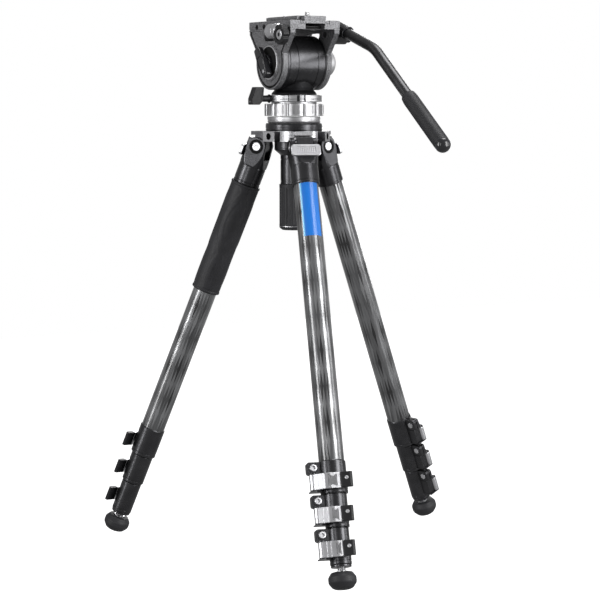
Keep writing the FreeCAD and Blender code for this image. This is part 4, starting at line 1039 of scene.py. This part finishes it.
def catch_housing():
    """Silver housing along the platform's left edge, with a tapered far end and two small screws."""
    place = shift(x=-37.5, z=684) @ ALONG_Y
    barrel = placed(lathe([
        (0, -29), (8.6, -29, 0.8), (10, -27.2, 0.8), (10, -20.4, 0.2), (9.5, -20.1, 0.1), (9.5, -19.4, 0.1),
        (10, -19.1, 0.2), (10, -4.5, 1.5), (7.4, 0.9, 1.0), (0, 0.9),
    ], 0.2, 128), place)
    keep = block((-60, -40, 660), (-37.6, 10, 700), 0)
    dots = [placed(rod(0.9, 9.4, 9.95, 0.2, 24), place @ turn_about("Z", turn) @ shift(z=-12) @ ALONG_X)
            for turn in (178, 205)]
    return joined(combined("INTERSECT", barrel, keep), painted(joined(*dots), 1))


def camera_plate():
    """Sliding plate: foot, neck and top flange, with a rubber top, lengthwise ribs and an end pin."""
    half = [(21.7, 693.3, 0.4), (21.7, 696.6, 0.8), (16, 696.6, 0.3), (16, 699, 0.3), (22, 699, 0.4),
            (22, 703.1, 0.6)]
    body = panel(FACING_Y, mirrored(half), -PLATFORM_HALF, 35, 0.5)
    corners = [block((low, -54, 696.7), (low + 8, -44, 705), 0) for low in (16.0, -24.0)]
    recess = placed(rod(8.3, 692, 698.2, 0, 64), shift(y=SCREW_Y))
    slot = slab(rounded(mirrored([(3.3, -41), (3.3, -25)]), 3.2, 6), 690, 706, 0)
    body = cut(body, recess, slot, *corners)
    pads = [block((low, near, 703.0), (high, 33, 703.5), 0.2, 1.0)
            for low, high, near in ((-20.5, -5.5, 4), (5.5, 20.5, -24))]
    ribs = [block((low, -42.5, 703.0), (low + 0.7, 2.5, 703.45), 0.15)
            for low in (-20.3 + 1.4 * step for step in range(11))]
    pin = lathe([(0, 703), (1.6, 703), (1.6, 705.5, 0.5), (0.8, 706.3, 0.3), (0, 706.3)], 0.1, 32)
    placed(pin, shift(y=24.5))
    stop = placed(rod(1.5, -52.95, -51, 0.2, 32), shift(x=-2, z=694.9) @ ALONG_Y)
    return joined(body, painted(joined(*pads, *ribs), 1), painted(joined(pin, stop), 2))


def camera_screw():
    """Slotted screw head under the plate, with a ridged thread above."""
    head = lathe([(0, 694), (8, 694, 0.5), (8, 697.4, 0.4), (0, 697.4)], 0.2, 64)
    profile = [(0, 697)] + [(2.6 if step % 2 else 3.17, 697 + 0.64 * step, 0) for step in range(18)]
    thread = lathe(profile + [(2.3, 708.9, 0.2), (0, 708.9)], 0, 48)
    return placed(joined(cut(head, block((-9, -0.8, 693), (9, 0.8, 695.2), 0)), thread), shift(y=SCREW_Y))


def plate_clamp():
    """Black lobed knob with a silver centre and a hexagonal socket."""
    knob = cut(slab(fluted(13, 7, 2.0, 1.5), 41, 49.9, 1.2, 3), rod(7.6, 47.6, 52, 0, 64))
    centre = cut(lathe([(0, 47), (7.2, 47), (7.2, 48.6, 0.3), (5.8, 49.6, 0.5), (0, 49.6)], 0.2, 64),
                 slab(hexagon(5.0), 47.8, 52, 0))
    well = slab(hexagon(5.0), 47.4, 48.1, 0)
    return placed(joined(knob, rod(3.5, 26, 41.5, 0.3, 48), painted(centre, 1), well), CLAMP_AXIS)


def tilt_lever():
    """Thick glossy bar lever with rounded edges and a hub over the tilt axis."""
    bar = mirrored([(5.5, -22, 2.5), (8.5, 0, 12), (5.5, 22, 2.5)])
    scoop = mirrored([(5.2, -18), (6.2, 0), (5.2, 8)])
    body = cut(panel(FACING_X, bar, -52, -43, 2.0, 0, 8, 4), panel(FACING_X, scoop, -53, -51.2, 0, 2.0, 5))
    hub, shaft = placed(rod(10, -43.5, -37.3, 0.4), ALONG_X), placed(rod(5, -37.5, -29.5, 0.3, 48), ALONG_X)
    cap = placed(rod(2.6, -51.9, -50.9, 0.2, 32), shift(z=-14) @ ALONG_X)
    return placed(joined(body, hub, shaft, painted(cap, 1)), shift(z=TILT_HEIGHT) @ turn_about("X", -35))


def counterbalance():
    """Pale round knob with a knurled band and a stepped face."""
    knob = lathe([
        (0, 37.3), (16.0, 37.3, 0.4), (17.4, 38.6, 0.5), (17.4, 49.2, 0.6), (16.6, 53.4, 2.0),
        (14.2, 55.9, 1.2), (11.6, 55.9, 0.2), (11.2, 55.3, 0.2), (0, 55.3),
    ], 0.3, 128)
    ribs = [placed(block((17.0, -0.28, 39.6), (17.48, 0.28, 48.2), 0.1), turn_about("Z", 5 * step))
            for step in range(72)]
    return placed(joined(knob, rod(5, 29.4, 37.6, 0.3, 48), *ribs), TILT_AXIS)


# The rod's own frame: +Z along the rod, +X towards its bend.
ROD_FRAME = Matrix(((0, 1, 0, 0), (0, 0, -1, 0), (-1, 0, 0, 0), (0, 0, 0, 1)))
HANDLE = shift(50, -33, 687.9) @ turn_about("X", 18.2) @ ROD_FRAME
ROD_FIRST, ROD_SECOND, BEND_RADIUS, ROD_TURN = 76.5, 175.0, 60.0, 20.2
GRIP_START = 87.3


def handle_socket():
    """The hub and collar of the handle, with a groove and a glossy lip round the collar's mouth."""
    groove = placed(ring(8.8, 9.7, 15.8, 16.7, 0.1), HANDLE)
    lip = lathe([(7.3, 20.2), (9.0, 20.2), (9.0, 21.3, 0.3), (8.4, 21.9, 0.3), (7.3, 21.9)], 0.2)
    return joined(cut(softened("handle_socket", TRIPOD, 0.8), groove), painted(placed(lip, HANDLE), 1))


def bent_frame(turn, onward=0.0):
    """Place on the handle's axis after a turn round its bend, and some way on."""
    bend = shift(BEND_RADIUS, z=ROD_FIRST) @ turn_about("Y", turn)
    return bend @ shift(-BEND_RADIUS, z=onward)


def handle_rod():
    """Smooth bent tube: out of the collar, round the bend, and on into the grip."""
    stations = [(6.4, shift(z=4.3)), (7.0, shift(z=5))]
    stations += [(7.0, bent_frame(ROD_TURN * step / 24)) for step in range(25)]
    stations += [(7.0, bent_frame(ROD_TURN, ROD_SECOND - 0.7)), (6.4, bent_frame(ROD_TURN, ROD_SECOND))]
    shape = bmesh.new()
    rings = [[shape.verts.new(place @ point.to_3d()) for point in circle(radius, 64)]
             for radius, place in stations]
    shape.faces.new(reversed(rings[0]))
    shape.faces.new(rings[-1])
    return placed(skin(shape, rings), HANDLE)


def handle_grip():
    """Rubber grip with a stepped start, fine upright ribs and a glossy ball end."""
    sleeve = lathe([
        (7.06, 0), (8.9, 0, 0.5), (9.5, 1.2, 0.5), (9.5, 3.2, 0.4), (10.0, 5.8, 1.2), (10.0, 92.6, 0.4),
        (9.4, 93.0, 0.2), (9.4, 93.8), (7.06, 93.8),
    ], 0.2, 128)
    ribs = [placed(block((9.8, -0.22, 8), (10.1, 0.22, 90.5), 0.08), turn_about("Z", 7.5 * step))
            for step in range(48)]
    turns = [math.radians(7.5 * step) for step in range(12)]
    arc = [(10 * math.cos(turn), 95 + 10 * math.sin(turn), 0) for turn in turns]
    ball = lathe([(0, 88), (7.0, 88), (7.0, 93.9), (9.8, 93.9, 0.3)] + arc + [(0, 105, 0)], 0.2)
    return placed(joined(sleeve, *ribs, painted(ball, 1)), HANDLE @ bent_frame(ROD_TURN, GRIP_START))


def handle_clamp():
    """Lobed knob with a silver cap, and the bolt that draws the handle onto the rosette."""
    knob = cut(slab(fluted(10, 6, 1.7, 1.5), 59.9, 66.4, 0.9, 3), rod(5.6, 65.6, 68, 0))
    cap = lathe([(0, 65), (4.8, 65), (4.8, 66.2, 0.3), (4.2, 66.8, 0.3), (0, 66.8)], 0.2, 64)
    return placed(joined(knob, rod(4, 29.6, 60.2, 0.3, 48), painted(cap, 1)), ROSETTE_AXIS)


def make_head():
    """The crown, the leveling base and the fluid head, and the CAD nodes that they stand for."""
    rows = (
        (crown_casting, "crown_casting", "crown", [BLACK, MACHINED_AND_HIGHLIGHT], "black_anodised", "crown"),
        (hinge_bolts, "leg_bolts", "crown", SILVER, "steel", "hinge_bolts"),
        (half_ball, "half_ball", "leveling_base", TURNED, "silver_anodised", "leveling_ball"),
        (clamp_washer, "washer", "leveling_base", BLACK, "black_anodised", "clamp_washer"),
        (pan_base, "pan_flange", "leveling_base", [TURNED, BLACK], "silver_anodised", "pan_base"),
        (leveling_stem, "leveling_stem", "leveling_handle", BLACK, "black_anodised", "leveling_handle"),
        (leveling_sleeve, "leveling_sleeve", "leveling_handle", [RUBBER, SILVER], "rubber", "leveling_grip"),
        (drag_ring, "drag_ring", "pan_drag_ring", [RING, KNURLED], "silver_anodised", "pan_drag_ring"),
        (pan_lock, "pan_lock", "pan_lock_knob", [PLASTIC, SILVER], "black_plastic", "pan_lock_knob"),
        (barrel_and_neck, "barrel_and_neck", "head", [BLACK, SHADED_BLACK], "black_anodised", "head_body"),
        (left_plate, "left_plate", "cradle", [SPECKLED, MATT, SILVER], "black_anodised", "left_side_plate"),
        (right_plate, "right_plate", "cradle", [SPECKLED, MATT], "black_anodised", "right_side_plate"),
        (platform, "channel_platform", "cradle", [SPECKLED, MATT], "black_anodised", "platform"),
        (catch_housing, "catch", "cradle", [SILVER, BLACK], "silver_anodised", "catch_housing"),
        (camera_plate, "sliding_plate", "camera_plate", [SPECKLED, RUBBER, SILVER], "black_anodised",
         "camera_plate"),
        (camera_screw, "camera_bolt", "camera_screw", STEEL, "steel", "camera_screw"),
        (plate_clamp, "plate_clamp", "clamp_knob", [PLASTIC, SILVER], "black_plastic", "clamp_knob"),
        (tilt_lever, "tilt_lever", "tilt_lock_lever", [GLOSS, SILVER], "gloss_black", "tilt_lock_lever"),
        (counterbalance, "counterbalance", "counterbalance_knob", PALE, "silver_anodised",
         "counterbalance_knob"),
        (handle_socket, "handle_collar", "pan_handle", [SATIN, GLOSS], "black_anodised", "handle_socket"),
        (handle_rod, "bent_rod", "pan_handle", SATIN, "black_anodised", "handle_rod"),
        (handle_grip, "ribbed_grip", "pan_handle", [RUBBER, GLOSS], "rubber", "handle_grip"),
        (handle_clamp, "handle_clamp", "handle_knob", [PLASTIC, SILVER], "black_plastic", "handle_knob"),
    )
    for make, name, body, looks, slot, node in rows:
        piece(name, make(), TRIPOD, body, looks, slot, node)
    return {row[-1] for row in rows}


# ---- everything that keeps the shape of its CAD node ----------------------------------------

def finish_plain_nodes(done):
    """A softened copy of each CAD node that no piece stands for yet."""
    slots = {part["node"]: part["material_slot"] for part in frame["record"]["subparts"]}
    body_of = {node: body for body, nodes in frame["record"]["behaviour"]["bodies"].items() for node in nodes}
    for node, slot in slots.items():
        if node in done:
            continue
        name = node.split("_")[0]
        place = leg_frame(name) if body_of[node].startswith(LEG_NAMES) else TRIPOD
        piece(node + "_skin", softened(node, place), place, body_of[node], LOOKS[slot], slot, node)


finish_plain_nodes(make_legs() | make_head())


# ---- stage -----------------------------------------------------------------------------------------------

CAMERA_AZIMUTH = -31.0
CAMERA_DISTANCE = 2.485
CAMERA_HEIGHT = 0.589
CAMERA_PITCH = 5.95
CAMERA_YAW = 0.18
CAMERA_LENS = 112.4
FLOOR_HEIGHT = -1.3
AIM_HEIGHT = 0.4
REFLECTED_WHITE = 0.38


def round_tripod(azimuth, distance, height):
    """Point round the tripod's axis; azimuth 0 is the operator's side."""
    heading = math.radians(azimuth)
    return TRIPOD.translation + Vector((distance * math.sin(heading), -distance * math.cos(heading), height))


def make_camera():
    camera = bpy.data.cameras.new("camera")
    camera.sensor_width = 36
    camera.lens = CAMERA_LENS
    camera.clip_end = 50
    item = linked("camera", camera)
    item.location = round_tripod(CAMERA_AZIMUTH, CAMERA_DISTANCE, CAMERA_HEIGHT)
    item.rotation_euler = (math.radians(90 - CAMERA_PITCH), 0, math.radians(CAMERA_AZIMUTH - CAMERA_YAW))
    bpy.context.scene.camera = item


def make_floor():
    """White ground, low enough that it doesn't hide the legs when they are drawn out."""
    shape = bmesh.new()
    bmesh.ops.create_grid(shape, x_segments=1, y_segments=1, size=12)
    mesh = bpy.data.meshes.new("floor")
    shape.to_mesh(mesh)
    item = linked("floor", mesh)
    item.location.z = FLOOR_HEIGHT
    white = graph("floor", (0.9, 0.9, 0.9), 0.0, 0.9, Specular_IOR_Level=0.1, Emission_Strength=0.95,
                  Emission_Color=(1, 1, 1, 1))[0]
    mesh.materials.append(white)
    item.visible_glossy = False
    item.visible_diffuse = False


def make_world():
    """White behind the object, and dimmer in what the object reflects."""
    world = bpy.data.worlds.new("studio")
    bpy.context.scene.world = world
    world.use_nodes = True
    tree = world.node_tree
    background = tree.nodes["Background"]
    sight = add(tree, "LightPath").outputs["Is Camera Ray"]
    tree.links.new(spread(tree, sight, REFLECTED_WHITE, 1.0, 0.0, 1.0), background.inputs["Strength"])
    background.inputs["Color"].default_value = (1, 1, 1, 1)


def make_softbox(name, azimuth, height, distance, width, tall, power):
    """Rectangular light that faces the tripod."""
    light = bpy.data.lights.new(name, "AREA")
    light.shape = "RECTANGLE"
    light.size = width
    light.size_y = tall
    light.energy = power
    item = linked(name, light)
    item.location = round_tripod(azimuth, distance, height)
    aim = TRIPOD.translation + Vector((0, 0, AIM_HEIGHT)) - item.location
    item.rotation_euler = aim.to_track_quat("-Z", "Y").to_euler()


make_camera()
make_floor()
make_world()
for softbox in (
    ("key", 22, 0.9, 2.2, 1.0, 2.2, 66),
    ("near_left", -62, 0.7, 2.4, 0.5, 1.2, 9),
    ("near_right", 58, 0.7, 2.4, 0.5, 1.2, 9),
    ("left", -95, 0.9, 2.4, 0.5, 1.8, 34),
    ("rim", 140, 1.1, 2.4, 0.8, 1.8, 24),
    ("top", 85, 2.7, 0.55, 1.2, 1.2, 38),
):
    make_softbox(*softbox)
bpy.context.scene.view_settings.view_transform = "Standard"
